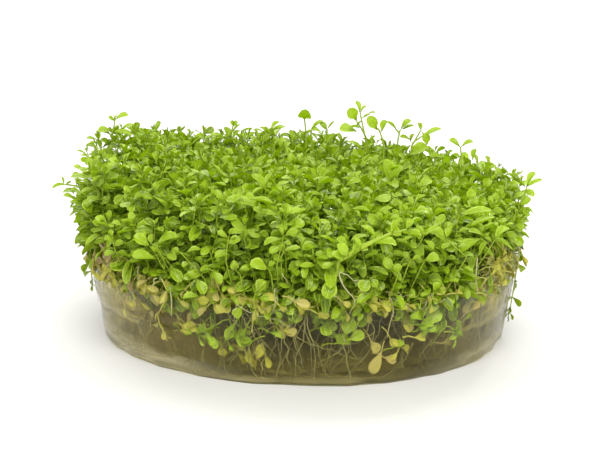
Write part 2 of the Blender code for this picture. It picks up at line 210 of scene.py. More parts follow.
def leafSurface(web, finish):
    # the parts of a blade as masks, and its relief
    place = web.place()
    chart = web.wire("ShaderNodeUVMap", {"uv_map": "leafMap"})
    across, along = web.axis(chart, "X"), web.axis(chart, "Y")
    under = across.calc("GREATER_THAN", across, 0.5)
    side = abs(across - bladeChart["upper"] - under * 0.5) * bladeChart["toSide"]
    rib = web.ramp(side, 0.02, 0.20, 1.0, 0.0)
    slant = along * bladePattern["veinPairs"] - side * bladePattern["veinSlant"]
    vein = web.ramp(abs(slant.calc("FRACT", slant) - 0.5), 0.0, 0.16, 1.0, 0.0)
    # the rim mask: partly the blade's own paler margin, partly a painted highlight
    edge = web.ramp(side, 0.66, 0.96)
    cup = side * side * 0.9 + web.grain(place, bladePattern["cupGrain"]) * 1.1
    relief = finish["relief"]
    height = cup * relief["cup"] + rib * relief["rib"] + vein * relief["vein"]
    return place, along, under, rib, vein, edge, height


def finishLeaf(web, finish, base, height, share):
    skin = web.principled({
        "Base Color": base, "Roughness": finish["roughness"], "IOR": bladePattern["ior"],
        "Specular IOR Level": bladePattern["specular"], "Normal": web.bump(height, bladePattern["reliefDepth"]),
        "Coat Weight": finish["coat"], "Coat Roughness": bladePattern["coatRoughness"]})
    web.output(web.glowing(skin, finish, share), finish)


def makeLeafTissue():
    made, web = newMaterial("leafTissue")
    place, along, under, rib, vein, edge, height = leafSurface(web, leafFinish)
    tint, stem = web.stored("tint"), web.stored("kind")
    blade = 1.0 - stem
    shares = leafFinish["shares"]
    # the tint, random blotches, and painted shade that darkens each blade towards its foot
    shade = (tint + (web.grain(place, 900.0, 3.0) - 0.5) * leafFinish["blotch"]
             + (along - 0.55) * leafFinish["paintedFootShade"] * blade)
    # painted sheen: pale patches on the upper face stand in for its reflection
    paintedSheen = web.ramp(web.grain(place, 1700.0, 3.0, 0.6), 0.50, 0.70) * (1.0 - under) * blade
    base = web.layers(leafFinish, "deep", (web.ramp(shade, -0.05, 0.62), "fresh"),
                      (web.ramp(shade, 0.60, 1.20), "young"), (under * shares["under"], "under"),
                      (paintedSheen * shares["paintedSheen"], "paintedSheen"),
                      ((rib * shares["rib"] + vein * shares["vein"]) * blade, "rib"),
                      (edge * blade * shares["edge"], "edge"), (stem * shares["stem"], "stem"))
    share = leafFinish["glowShare"] + (tint - 0.5) * 0.20 - stem * 0.15
    finishLeaf(web, leafFinish, base, height + web.grain(place, 6000.0) * leafFinish["relief"]["fine"], share)
    return made


def makeAgedTissue():
    made, web = newMaterial("agedTissue")
    place, along, under, rib, vein, edge, height = leafSurface(web, agedFinish)
    shares = agedFinish["shares"]
    shade = web.stored("tint") + (web.grain(place, 1400.0, 4.0, 0.6) - 0.5) * agedFinish["blotch"]
    # painted sheen: pale patches stand in for the blade's reflection
    paintedSheen = web.ramp(web.grain(place, 2100.0, 3.0), 0.5, 0.7)
    base = web.layers(agedFinish, "brown", (web.ramp(shade, -0.1, 0.30), "ochre"),
                      (web.ramp(shade, 0.30, 0.75), "yellow"),
                      (rib * shares["rib"] + vein * shares["vein"], "rib"), (edge * shares["edge"], "edge"),
                      (paintedSheen * shares["paintedSheen"], "paintedSheen"))
    finishLeaf(web, agedFinish, base, height + web.grain(place, 3000.0) * agedFinish["relief"]["fine"],
               agedFinish["glowShare"])
    return made


# roots, and the dark felt of old roots and stems in the middle of the gel
rootFinish = {
    "tan": colour(0.26, 0.22, 0.09),
    "pale": colour(0.46, 0.45, 0.16),
    "white": colour(0.84, 0.82, 0.58),
    "glow": colour(0.72, 0.70, 0.34),
    "lampTint": colour(0.70, 0.68, 0.46),
    "glowShare": 0.35,
    "relief": 0.00004,
}
feltFinish = {
    "upper": colour(0.130, 0.145, 0.070),
    "lower": colour(0.400, 0.360, 0.185),
    "fibre": colour(0.280, 0.270, 0.120),
    "stain": colour(0.250, 0.220, 0.110),
    # side: painted light, a paler colour towards the felt's left and right sides, where light comes in through the
    # gel's sides
    "side": colour(0.820, 0.740, 0.560),
    "levels": (0.0010, 0.0085),  # the heights between which lower turns into upper
    "sides": (0.011, 0.026),  # the distances from the middle between which the sides are painted paler, as painted light
    "middle": 0.003,
    "relief": 0.0003,
}


def makeRootTissue():
    made, web = newMaterial("rootTissue")
    place = web.place()
    shade = web.stored("tint") + (web.grain(place, 700.0, 3.0) - 0.5) * 0.4
    base = web.layers(rootFinish, "tan", (web.ramp(shade, 0.0, 0.8), "pale"), (web.ramp(shade, 0.8, 1.2), "white"))
    normal = web.bump(web.grain(place, 5000.0), rootFinish["relief"], 0.5)
    skin = web.principled({
        "Base Color": base, "Roughness": 0.4, "Normal": normal, "Coat Weight": 0.2, "Coat Roughness": 0.15})
    web.output(web.glowing(skin, rootFinish, rootFinish["glowShare"]), rootFinish)
    return made


def makeRootFelt():
    made, web = newMaterial("rootFelt")
    place = web.place()
    clouds = web.grain(place, 160.0, 3.0, 0.6)
    fibres = web.grain(web.stretched(place, (1.0, 1.0, 0.12)), 1500.0, 3.0, 0.6)
    level = web.ramp(web.axis(place, "Z") + (clouds - 0.5) * 0.005, *feltFinish["levels"])
    # the distance from the middle across, for the painted light on the felt's sides
    aside = abs(web.axis(place, "X") - feltFinish["middle"]) + (clouds - 0.5) * 0.008
    base = web.layers(feltFinish, "lower", (level, "upper"),
                      (web.ramp(fibres, 0.50, 0.72) * level * 0.6, "fibre"),
                      (web.ramp(clouds, 0.42, 0.62) * (1.0 - level) * 0.55, "stain"),
                      (web.ramp(aside, *feltFinish["sides"]) * (1.0 - level * 0.85) * 0.90, "side"))
    normal = web.bump(fibres + clouds, feltFinish["relief"], 0.8)
    web.output(web.principled({"Base Color": base, "Roughness": 0.85, "Normal": normal}))
    return made


gelFinish = {
    "ior": 1.335,
    "roughness": 0.19,
    "absorb": colour(0.84, 0.79, 0.36),
    "density": 60.0,
    "lampTint": colour(0.92, 0.90, 0.78),
    "relief": 0.00010,
}


def makeGelFinish():
    made, web = newMaterial("cultureGel")
    place = web.place()
    streaks = web.grain(web.stretched(place, (1.0, 1.0, 0.16)), 520.0, 3.0, 0.55)
    waves = web.grain(place, 90.0, 1.0)
    body = web.principled({
        "Base Color": colour(1.0, 1.0, 1.0), "Roughness": gelFinish["roughness"], "IOR": gelFinish["ior"],
        "Transmission Weight": 1.0, "Normal": web.bump(streaks * 0.35 + waves * 3.0, gelFinish["relief"], 0.30)})
    depth = web.wire("ShaderNodeVolumeAbsorption", {}, {
        "Color": gelFinish["absorb"], "Density": gelFinish["density"]})
    web.output(body, gelFinish, {"Volume": depth})
    return made


leafTissue = makeLeafTissue()
agedTissue = makeAgedTissue()
rootTissue = makeRootTissue()
rootFelt = makeRootFelt()
cultureGel = makeGelFinish()
print("finishes made")


# unit leaf blades along +Y, upper face towards +Z
bladeRows = (0.0, 0.17, 0.39, 0.61, 0.81, 0.945)
leafForms = (
    # name, half widths at the rows, cup, droop, fold along the midrib, sideways curve
    ("leafForm0round", (0.050, 0.120, 0.300, 0.370, 0.335, 0.205), 0.60, 0.12, 0.00, 0.00),
    ("leafForm1roundFlat", (0.050, 0.105, 0.280, 0.360, 0.330, 0.200), -0.38, 0.30, 0.05, 0.04),
    ("leafForm2obovate", (0.045, 0.080, 0.195, 0.285, 0.300, 0.195), 0.55, 0.22, 0.06, -0.03),
    ("leafForm3spoon", (0.045, 0.070, 0.150, 0.250, 0.275, 0.175), 0.45, 0.40, 0.04, 0.06),
    ("leafForm4slim", (0.050, 0.100, 0.170, 0.205, 0.185, 0.110), 0.70, 0.16, 0.08, 0.05),
    ("leafForm5curled", (0.060, 0.150, 0.290, 0.340, 0.300, 0.180), 0.95, -0.25, 0.00, 0.08),
    ("leafForm6folded", (0.050, 0.095, 0.220, 0.290, 0.265, 0.160), 0.10, 0.10, 0.16, -0.06),
    ("leafForm7arched", (0.050, 0.100, 0.240, 0.310, 0.290, 0.180), 0.35, 0.66, 0.08, 0.02),
)
bladeThickness = 0.055
ribRise = 0.012


def makeLeafForm(name, widths, cup, droop, fold, bow):
    verts, chart = [], []

    def put(across, width, v, lift=0.0):
        crease = abs(across) * math.sin(math.pi * v)
        x = width * across + bow * math.sin(math.pi * v)
        z = -droop * v * v + cup * width * width / 0.4 * abs(across) + fold * crease + lift
        verts.append((x, v, z))
        chart.append((across, v))
        return len(verts) - 1

    left = [put(-1, w, v) for w, v in zip(widths, bladeRows)]
    right = [put(1, w, v) for w, v in zip(widths, bladeRows)]
    tip, root = put(0, 0, 1), put(0, 0, 0)
    top = [root] + [put(0, 0, v, ribRise) for v in bladeRows[1:]]
    low = [root] + [put(0, 0, v, -bladeThickness * (1 - 0.5 * v)) for v in bladeRows[1:]]
    upper, lower = [], []
    for i in range(len(bladeRows) - 1):
        upper += [(left[i], top[i], top[i + 1], left[i + 1]), (top[i], right[i], right[i + 1], top[i + 1])]
        lower += [(left[i], left[i + 1], low[i + 1], low[i]), (low[i], low[i + 1], right[i + 1], right[i])]
    upper += [(left[-1], top[-1], tip), (top[-1], right[-1], tip)]
    lower += [(left[-1], tip, low[-1]), (low[-1], tip, right[-1])]
    mesh = bpy.data.meshes.new(name)
    mesh.from_pydata(verts, [], upper + lower)
    layer = mesh.uv_layers.new(name="leafMap")
    rims = (left + [tip], right + [tip])
    rim = {frozenset(pair) for line in rims for pair in zip(line, line[1:])}
    for polygon in mesh.polygons:
        polygon.use_smooth = True
        middle = bladeChart["upper" if polygon.index < len(upper) else "lower"]
        for loop in polygon.loop_indices:
            across, along = chart[mesh.loops[loop].vertex_index]
            layer.data[loop].uv = (middle + bladeChart["halfWidth"] * across, along)
    for edge in mesh.edges:
        edge.use_edge_sharp = frozenset(edge.vertices) in rim
    return bpy.data.objects.new(name, mesh)


formCollection = bpy.data.collections.new("leafForms")
scene.collection.children.link(formCollection)
for form in leafForms:
    formCollection.objects.link(makeLeafForm(*form))


def newTree(name, inputs):
    tree = bpy.data.node_groups.new(name, "GeometryNodeTree")
    tree.interface.new_socket(name="Geometry", in_out="OUTPUT", socket_type="NodeSocketGeometry")
    for label, kind in (("Geometry", "Geometry"),) + inputs:
        tree.interface.new_socket(name=label, in_out="INPUT", socket_type="NodeSocket" + kind)
    web = Web(tree)
    group = web.node("NodeGroupInput")
    return tree, web, lambda label: Wire(web, group.outputs[label])


def named(web, name, kind="FLOAT"):
    return web.wire("GeometryNodeInputNamedAttribute", {"data_type": kind}, {"Name": name})


def tubes(web, lines, sides):
    ring = web.wire("GeometryNodeCurvePrimitiveCircle", {}, {"Resolution": sides, "Radius": 1.0})
    line = web.wire("GeometryNodeMeshToCurve", {}, {"Mesh": lines})
    tube = web.wire("GeometryNodeCurveToMesh", {}, {
        "Curve": line, "Profile Curve": ring, "Scale": named(web, "thick"), "Fill Caps": True})
    return web.wire("GeometryNodeSetShadeSmooth", {}, {"Geometry": tube, "Shade Smooth": True})


def closeTree(web, geometry, finish):
    real = web.wire("GeometryNodeRealizeInstances", {}, {"Geometry": geometry})
    done = web.wire("GeometryNodeSetMaterial", {}, {"Geometry": real, "Material": finish})
    web.node("NodeGroupOutput", {}, {"Geometry": done})


def makeShootTree():
    # a leaf on every point, and a tube along every stem line
    tree, web, given = newTree("dressedShoots", (
        ("Leaf forms", "Collection"), ("Stem lines", "Object"), ("Stem sides", "Int"), ("Width", "Float"),
        ("Width spread", "Float"), ("Length spread", "Float"), ("Seed", "Int"), ("Finish", "Material")))
    forms = web.wire("GeometryNodeCollectionInfo", {}, {
        "Collection": given("Leaf forms"), "Separate Children": True, "Reset Children": True})
    turn = web.wire("FunctionNodeAxesToRotation", {"primary_axis": "Y", "secondary_axis": "Z"}, {
        0: named(web, "along", "FLOAT_VECTOR"), 1: named(web, "face", "FLOAT_VECTOR")})

    def varied(spread, seed):
        return web.wire("FunctionNodeRandomValue", {"data_type": "FLOAT"}, {
            2: 1.0 - given(spread), 3: 1.0 + given(spread), "Seed": seed}, out=1)

    wider, longer = varied("Width spread", given("Seed")), varied("Length spread", given("Seed") + 7)
    length = named(web, "length")
    size = web.wire("ShaderNodeCombineXYZ", {}, {
        "X": length * wider * given("Width"), "Y": length * longer, "Z": length})
    leaves = web.wire("GeometryNodeInstanceOnPoints", {}, {
        "Points": given("Geometry"), "Instance": forms, "Pick Instance": True,
        "Instance Index": named(web, "form", "INT"), "Rotation": turn, "Scale": size})
    lines = web.wire("GeometryNodeObjectInfo", {}, {"Object": given("Stem lines")}, out="Geometry")
    stems = web.wire("GeometryNodeStoreNamedAttribute", {"data_type": "FLOAT", "domain": "POINT"}, {
        "Geometry": tubes(web, lines, given("Stem sides")), "Name": "kind", "Value": 1.0})
    closeTree(web, web.wire("GeometryNodeJoinGeometry", {}, {"Geometry": (leaves, stems)}), given("Finish"))
    return tree


def makeRootTree():
    tree, web, given = newTree("rootStrands", (("Sides", "Int"), ("Finish", "Material")))
    closeTree(web, tubes(web, given("Geometry"), given("Sides")), given("Finish"))
    return tree


shootTree = makeShootTree()
rootTree = makeRootTree()


def newObject(name, mesh):
    made = bpy.data.objects.new(name, mesh)
    scene.collection.objects.link(made)
    return made


def grown(name, source, tree, values):
    # runs the tree on source and keeps the result as one plain mesh
    modifier = source.modifiers.new("grow", "NODES")
    modifier.node_group = tree
    for item in tree.interface.items_tree:
        if item.item_type == "SOCKET" and item.in_out == "INPUT" and item.name in values:
            modifier[item.identifier] = values[item.name]
    graph = bpy.context.evaluated_depsgraph_get()
    mesh = bpy.data.meshes.new_from_object(source.evaluated_get(graph), depsgraph=graph)
    source.modifiers.remove(modifier)
    bpy.data.objects.remove(source)
    return newObject(name, mesh)


def keepOnPoints(mesh, label, values, kind="FLOAT"):
    field = "vector" if kind == "FLOAT_VECTOR" else "value"
    mesh.attributes.new(label, kind, "POINT").data.foreach_set(field, values)


def lineObject(name, lines):
    # lines: lists of (point, thickness, tint)
    verts, edges, thick, tint = [], [], [], []
    for line in lines:
        start = len(verts)
        for point, width, shade in line:
            verts.append(tuple(point))
            thick.append(width)
            tint.append(shade)
        edges += [(start + i, start + i + 1) for i in range(len(line) - 1)]
    mesh = bpy.data.meshes.new(name)
    mesh.from_pydata(verts, edges, [])
    keepOnPoints(mesh, "thick", thick)
    keepOnPoints(mesh, "tint", tint)
    return newObject(name, mesh)


def finishPiece(piece, slot, *nodes):
    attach(piece, "root")
    if nodes:
        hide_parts(*nodes)


class LeafStore:
    # the leaves and stems of one piece, as points and lines for the tree
    bladeWidth = 0.88
    tintRange = (-0.2, 1.25)

    def __init__(self):
        self.place, self.along, self.face = [], [], []
        self.length, self.form, self.tint = [], [], []
        self.stems = []

    def leaf(self, place, along, face, length, form, tint):
        self.place.append(tuple(place))
        self.along += list(along)
        self.face += list(face)
        self.length.append(length)
        self.form.append(form)
        self.tint.append(min(self.tintRange[1], max(self.tintRange[0], tint)))

    def piece(self, name, seed, finish, sides=4, widthSpread=0.22, lengthSpread=0.18):
        mesh = bpy.data.meshes.new(name + "Points")
        mesh.from_pydata(self.place, [], [])
        keepOnPoints(mesh, "along", self.along, "FLOAT_VECTOR")
        keepOnPoints(mesh, "face", self.face, "FLOAT_VECTOR")
        keepOnPoints(mesh, "length", self.length)
        keepOnPoints(mesh, "form", self.form, "INT")
        keepOnPoints(mesh, "tint", self.tint)
        lines = lineObject(name + "Lines", self.stems)
        made = grown(name, newObject(name + "Points", mesh), shootTree, {
            "Leaf forms": formCollection, "Stem lines": lines, "Stem sides": sides, "Width": self.bladeWidth,
            "Width spread": widthSpread, "Length spread": lengthSpread, "Seed": seed, "Finish": finish})
        bpy.data.objects.remove(lines)
        return made


def smooth(value):
    value = min(1.0, max(0.0, value))
    return value * value * (3.0 - 2.0 * value)


def loose(rng, amount):
    return Vector((rng.gauss(0, amount), rng.gauss(0, amount), 0))


def pathPoints(start, end, bow, count):
    # from start to end, bowed towards the vector bow
    start, end = Vector(start), Vector(end)
    return [start.lerp(end, t / count) + Vector(bow) * (4.0 * (t / count) * (1.0 - t / count))
            for t in range(count + 1)]


def backAlong(path, distance):
    # a point that far from the path's end, and the direction towards the end there
    left = distance
    for i in range(len(path) - 1, 0, -1):
        step = path[i] - path[i - 1]
        if left <= step.length or i == 1:
            share = min(1.0, left / step.length)
            return path[i].lerp(path[i - 1], share), step.normalized()
        left -= step.length


# how a shoot grows: leaf pairs at right angles to each other, smallest at the tip
growth = {
    "apexLength": 0.0012,
    "tipLength": 0.0018,
    "fullLength": 0.0028,
    "pairsToFull": 2.4,
    "lengthSpread": (0.80, 1.14),
    "apexPlace": 0.00005,  # of the last pair, back from the tip
    "firstGap": 0.0008,
    "gap": 0.0015,
    "gapSpread": (0.8, 1.2),
    "footReach": 0.00012,  # of a blade's foot from the stem's middle
    "tipPitch": 26.0,
    "fullPitch": 68.0,
    "pitchSpread": 13.0,
    "rollSpread": 26.0,
    "turnSpread": 0.22,
    "stemTip": 0.00011,
    "stemRoot": 0.00018,
    "tipTint": 0.22,
    # innerTint is painted shade: the tint drops by this much for each pair past the second, as the lower leaves sit
    # deeper in the cushion
    "innerTint": 0.10,
    "tintSpread": 0.19,
    "apexForm": 4,
}


def growShoot(store, path, rng, pairs=5, size=1.0, tint=0.5, forms=(0, 1, 2, 3, 6, 7), gap=1.0, lift=0.25,
              spread=1.0, outward=None):
    length = sum((b - a).length for a, b in zip(path, path[1:]))
    stem = []
    for i, point in enumerate(path):
        share = i / (len(path) - 1)
        stem.append((point, growth["stemRoot"] + (growth["stemTip"] - growth["stemRoot"]) * share, tint))
    store.stems.append(stem)
    azimuth = rng.uniform(0, tau)
    away = growth["apexPlace"]
    for pair in range(pairs + 1):
        if away > length * 0.97:
            break
        place, axis = backAlong(path, away)
        sideways = (Vector((1, 0, 0)) - axis * axis.x).normalized()
        other = axis.cross(sideways)
        age = smooth(pair / growth["pairsToFull"])
        if pair == 0:
            bladeLength, pitch = growth["apexLength"], growth["tipPitch"] * 0.8
        else:
            bladeLength = growth["tipLength"] + (growth["fullLength"] - growth["tipLength"]) * age
            pitch = growth["tipPitch"] + (growth["fullPitch"] - growth["tipPitch"]) * age * spread
        for half in (0, 1):
            around = azimuth + pair * tau / 4 + half * tau / 2 + rng.gauss(0, growth["turnSpread"])
            aside = sideways * math.cos(around) + other * math.sin(around)
            angle = math.radians(pitch + rng.gauss(0, growth["pitchSpread"]))
            along = axis * math.cos(angle) + aside * math.sin(angle)
            face = axis * math.sin(angle) - aside * math.cos(angle)
            face = face + Vector((0, 0, lift))
            if outward is not None:
                face = face + outward
            roll = math.radians(rng.gauss(0, growth["rollSpread"]))
            face = Matrix.Rotation(roll, 3, along) @ face.normalized()
            blade = bladeLength * size * rng.uniform(*growth["lengthSpread"])
            form = rng.choice(forms) if pair else growth["apexForm"]
            # painted shade darkens the lower pairs, deeper in the cushion
            shade = (tint + growth["tipTint"] * (1.0 - age) - growth["innerTint"] * max(0, pair - 2)
                     + rng.gauss(0, growth["tintSpread"]))
            store.leaf(place + aside * growth["footReach"], along, face, blade, form, shade)
        step = growth["gap"] * (0.75 + 0.25 * min(pair, 3)) if pair else growth["firstGap"]
        away += step * gap * rng.uniform(*growth["gapSpread"])


# shoots that the photograph shows one by one
placed = {
    "viewSide": Vector((0, -1, 0.30)).normalized(),  # the side their leaves turn to
    "stemRoot": 0.00021,
    "stemTaper": 0.00007,
    "sprigFoot": 0.007,
    "foot": 0.005,
    "front": {"inward": 0.0035, "size": 0.95, "shade": 0.72, "stout": 0.70},
    "nearPlant": 0.94,  # where a shoot's plant is looked for, as a share of its own distance from the middle
}


def placedLeaf(store, place, lean, front, length, form, roll, tint, size=1.0, shade=1.0):
    lean, front, roll = math.radians(lean), math.radians(front), math.radians(roll)
    along = Vector((math.sin(lean) * math.cos(front), -math.sin(front), math.cos(lean) * math.cos(front)))
    flat = (placed["viewSide"] - along * placed["viewSide"].dot(along)).normalized()
    face = max((Matrix.Rotation(turn, 3, along) @ flat for turn in (roll, -roll)), key=lambda f: f.z)
    store.leaf(place, along, face, length / 1000 * size, form, tint * shade)


def placedShoot(store, depth, stems, leaves, foot, inward=0.0, size=1.0, shade=1.0, stout=1.0):
    for line in stems:
        points = [Vector((x, depth, z)) / 1000 for x, z in line]
        down = Vector((0, 0, -foot)) - Vector((points[0].x, points[0].y, 0)).normalized() * inward
        points = [points[0] + down, points[0] + down * 0.45] + points
        store.stems.append([
            (p, (placed["stemRoot"] - placed["stemTaper"] * i / (len(points) - 1)) * stout,
             shade * (0.3 + 0.5 * i / len(points))) for i, p in enumerate(points)])
    for x, z, *pose in leaves:
        placedLeaf(store, Vector((x, depth, z)) / 1000, *pose, size, shade)


# each shoot: its y in mm, its stems as lines of (x, z) in mm, and its leaves: x and z of the foot in mm, lean to the
# right from upright, lean to the front, length in mm, form, turn round its own length, tint
sprigShapes = {
    "sprig_left_back": (8, (((-39.2, 33.9), (-39.1, 36), (-39, 37.8), (-38.7, 39.2), (-38.6, 40.5)),), (
        (-38.6, 40.2, 62, -10, 2.8, 2, 35, 1), (-38.7, 39.9, -41, 25, 1.6, 2, 31, 1.1),
        (-39.1, 37.9, -79, 10, 2.9, 2, 34, 0.9), (-39, 37.7, 86, 15, 4.1, 4, 50, 0.8),
        (-38.9, 40.1, 30, 0, 1.2, 2, 44, 1),)),
    "sprig_left_low": (-0.5, (((-44, 28.1), (-45.6, 28.3), (-47.5, 28.5), (-48.3, 28.5)),), (
        (-47.7, 28.5, -98, 10, 2.7, 4, 38, 0.9), (-48.2, 28.5, -3, 0, 1.7, 4, 53, 0.8),
        (-47.7, 28.4, 46, 30, 1.7, 4, 42, 0.7), (-45.8, 28.3, -161, 0, 1.8, 2, 49, 0.7),
        (-45.6, 28.3, 27, 0, 1.7, 2, 37, 0.7),)),
    "sprig_back_left": (30, (((-15.7, 31.3), (-15.8, 33.1), (-15.5, 35.2)),), (
        (-15.4, 35, -17, 0, 1.3, 0, 0, 1), (-15.4, 35, 29, 0, 1.4, 0, 0, 0.9),
        (-15.5, 34.1, 41, 0, 2, 4, 59, 0.9), (-15.7, 33.9, -55, 0, 1.4, 4, 43, 0.8),
        (-15.6, 32.6, -31, 10, 2.7, 2, 55, 0.5), (-15.6, 32, 27, -10, 2.7, 2, 50, 0.45),)),
    "sprig_back_middle": (28.5, (((-8.2, 31.2), (-8, 33.1), (-7.6, 34.6)),), (
        (-7.6, 34.5, 32, 0, 2.7, 2, 50, 0.95), (-7.5, 34.6, 61, 20, 3.4, 4, 67, 0.95),
        (-7.8, 33.8, -44, 10, 2.6, 4, 61, 1.1), (-7.8, 33.8, -24, 0, 1.9, 4, 56, 0.8),
        (-7.8, 33.1, 100, 20, 2.3, 2, 52, 0.7),)),
    "sprig_round_leaf": (23.5, (((0, 32.7), (-0.1, 35.4), (-0.5, 38.3)),), (
        (-0.5, 38.2, 3, 56, 4.2, 0, 0, 0.9), (-0.5, 38.2, -30, -60, 2.2, 1, 10, 0.8),
        (-0.1, 35.2, -73, 0, 1.3, 2, 38, 0.8), (-0.1, 35, 41, 0, 1.4, 2, 44, 0.8),)),
    "sprig_tallest": (22, (((12.8, 33.1), (12.3, 34.7), (11.8, 36.6), (11.4, 38.3), (11, 40)),), (
        (11, 40, -12, 0, 2.7, 2, 49, 1), (11.1, 40.2, 29, 0, 1.8, 2, 55, 1.15),
        (11.4, 39, 54, 0, 2, 4, 62, 0.9), (12.7, 40.1, 76, 0, 1.6, 4, 58, 0.9),
        (11.4, 38.5, -137, 20, 1.9, 4, 46, 0.7),)),
    "sprig_round_pair": (16, (((15.9, 34.4), (15.5, 36.1), (14.9, 37.7), (14.3, 38.2)),), (
        (14.4, 37.9, -33, 15, 3.4, 0, 0, 0.9), (15.4, 37.4, 9, 15, 2.7, 2, 27, 1),
        (15.2, 37.5, -61, 0, 1.7, 4, 51, 0.8),)),
    "sprig_right_back": (21.5, (((18.9, 33.3), (19, 35), (19.4, 36.9)),), (
        (19.5, 37, 38, 0, 2.7, 2, 34, 0.8), (19.7, 36.9, 60, 0, 2.8, 4, 71, 0.9),
        (18.6, 36.9, -48, 0, 2.7, 4, 55, 0.8), (19.3, 35.7, -33, 0, 1.6, 4, 50, 0.8),)),
    "sprig_right_lean": (13.5, (((21.7, 35.8), (22.7, 36.6), (23.9, 37.5)),
        ((23, 32.6), (24, 34.3), (24.5, 35.7))), (
        (23.9, 37.4, 60, 0, 3.9, 4, 48, 1.1), (24.6, 35.5, -9, 15, 2.7, 0, 0, 0.95),
        (20.9, 33.4, 60, 20, 4.4, 0, 40, 0.7), (24, 34.3, 97, 20, 1.5, 2, 25, 0.7),)),
    "sprig_right_fork": (12.5, (((31.6, 32.2), (31.6, 33.9), (31.4, 35.4)),), (
        (31.3, 35.4, -47, 0, 2.7, 2, 32, 0.9), (31.5, 35.4, 55, 0, 2.6, 2, 43, 0.95),
        (34, 32.7, 5, 0, 2.4, 2, 37, 0.8), (31.7, 33, -51, 20, 2, 2, 47, 0.7),)),
    "sprig_right_edge": (-1.5, (((43.3, 27.8), (43.7, 29.2), (44, 30.8)),), (
        (44, 30.7, 19, 0, 3.1, 2, 44, 1), (44.1, 30.7, 57, 0, 3.3, 4, 45, 1),
        (43.7, 30.5, -49, 0, 3, 4, 68, 0.6), (42.2, 31.6, -48, 0, 2.8, 4, 66, 0.6),
        (42.3, 31.7, -26, 0, 2.2, 4, 59, 0.7), (42.1, 31.9, 54, 0, 1.4, 4, 43, 0.8),
        (43.7, 29.9, 127, 0, 1.3, 0, 0, 0.7),)),
}
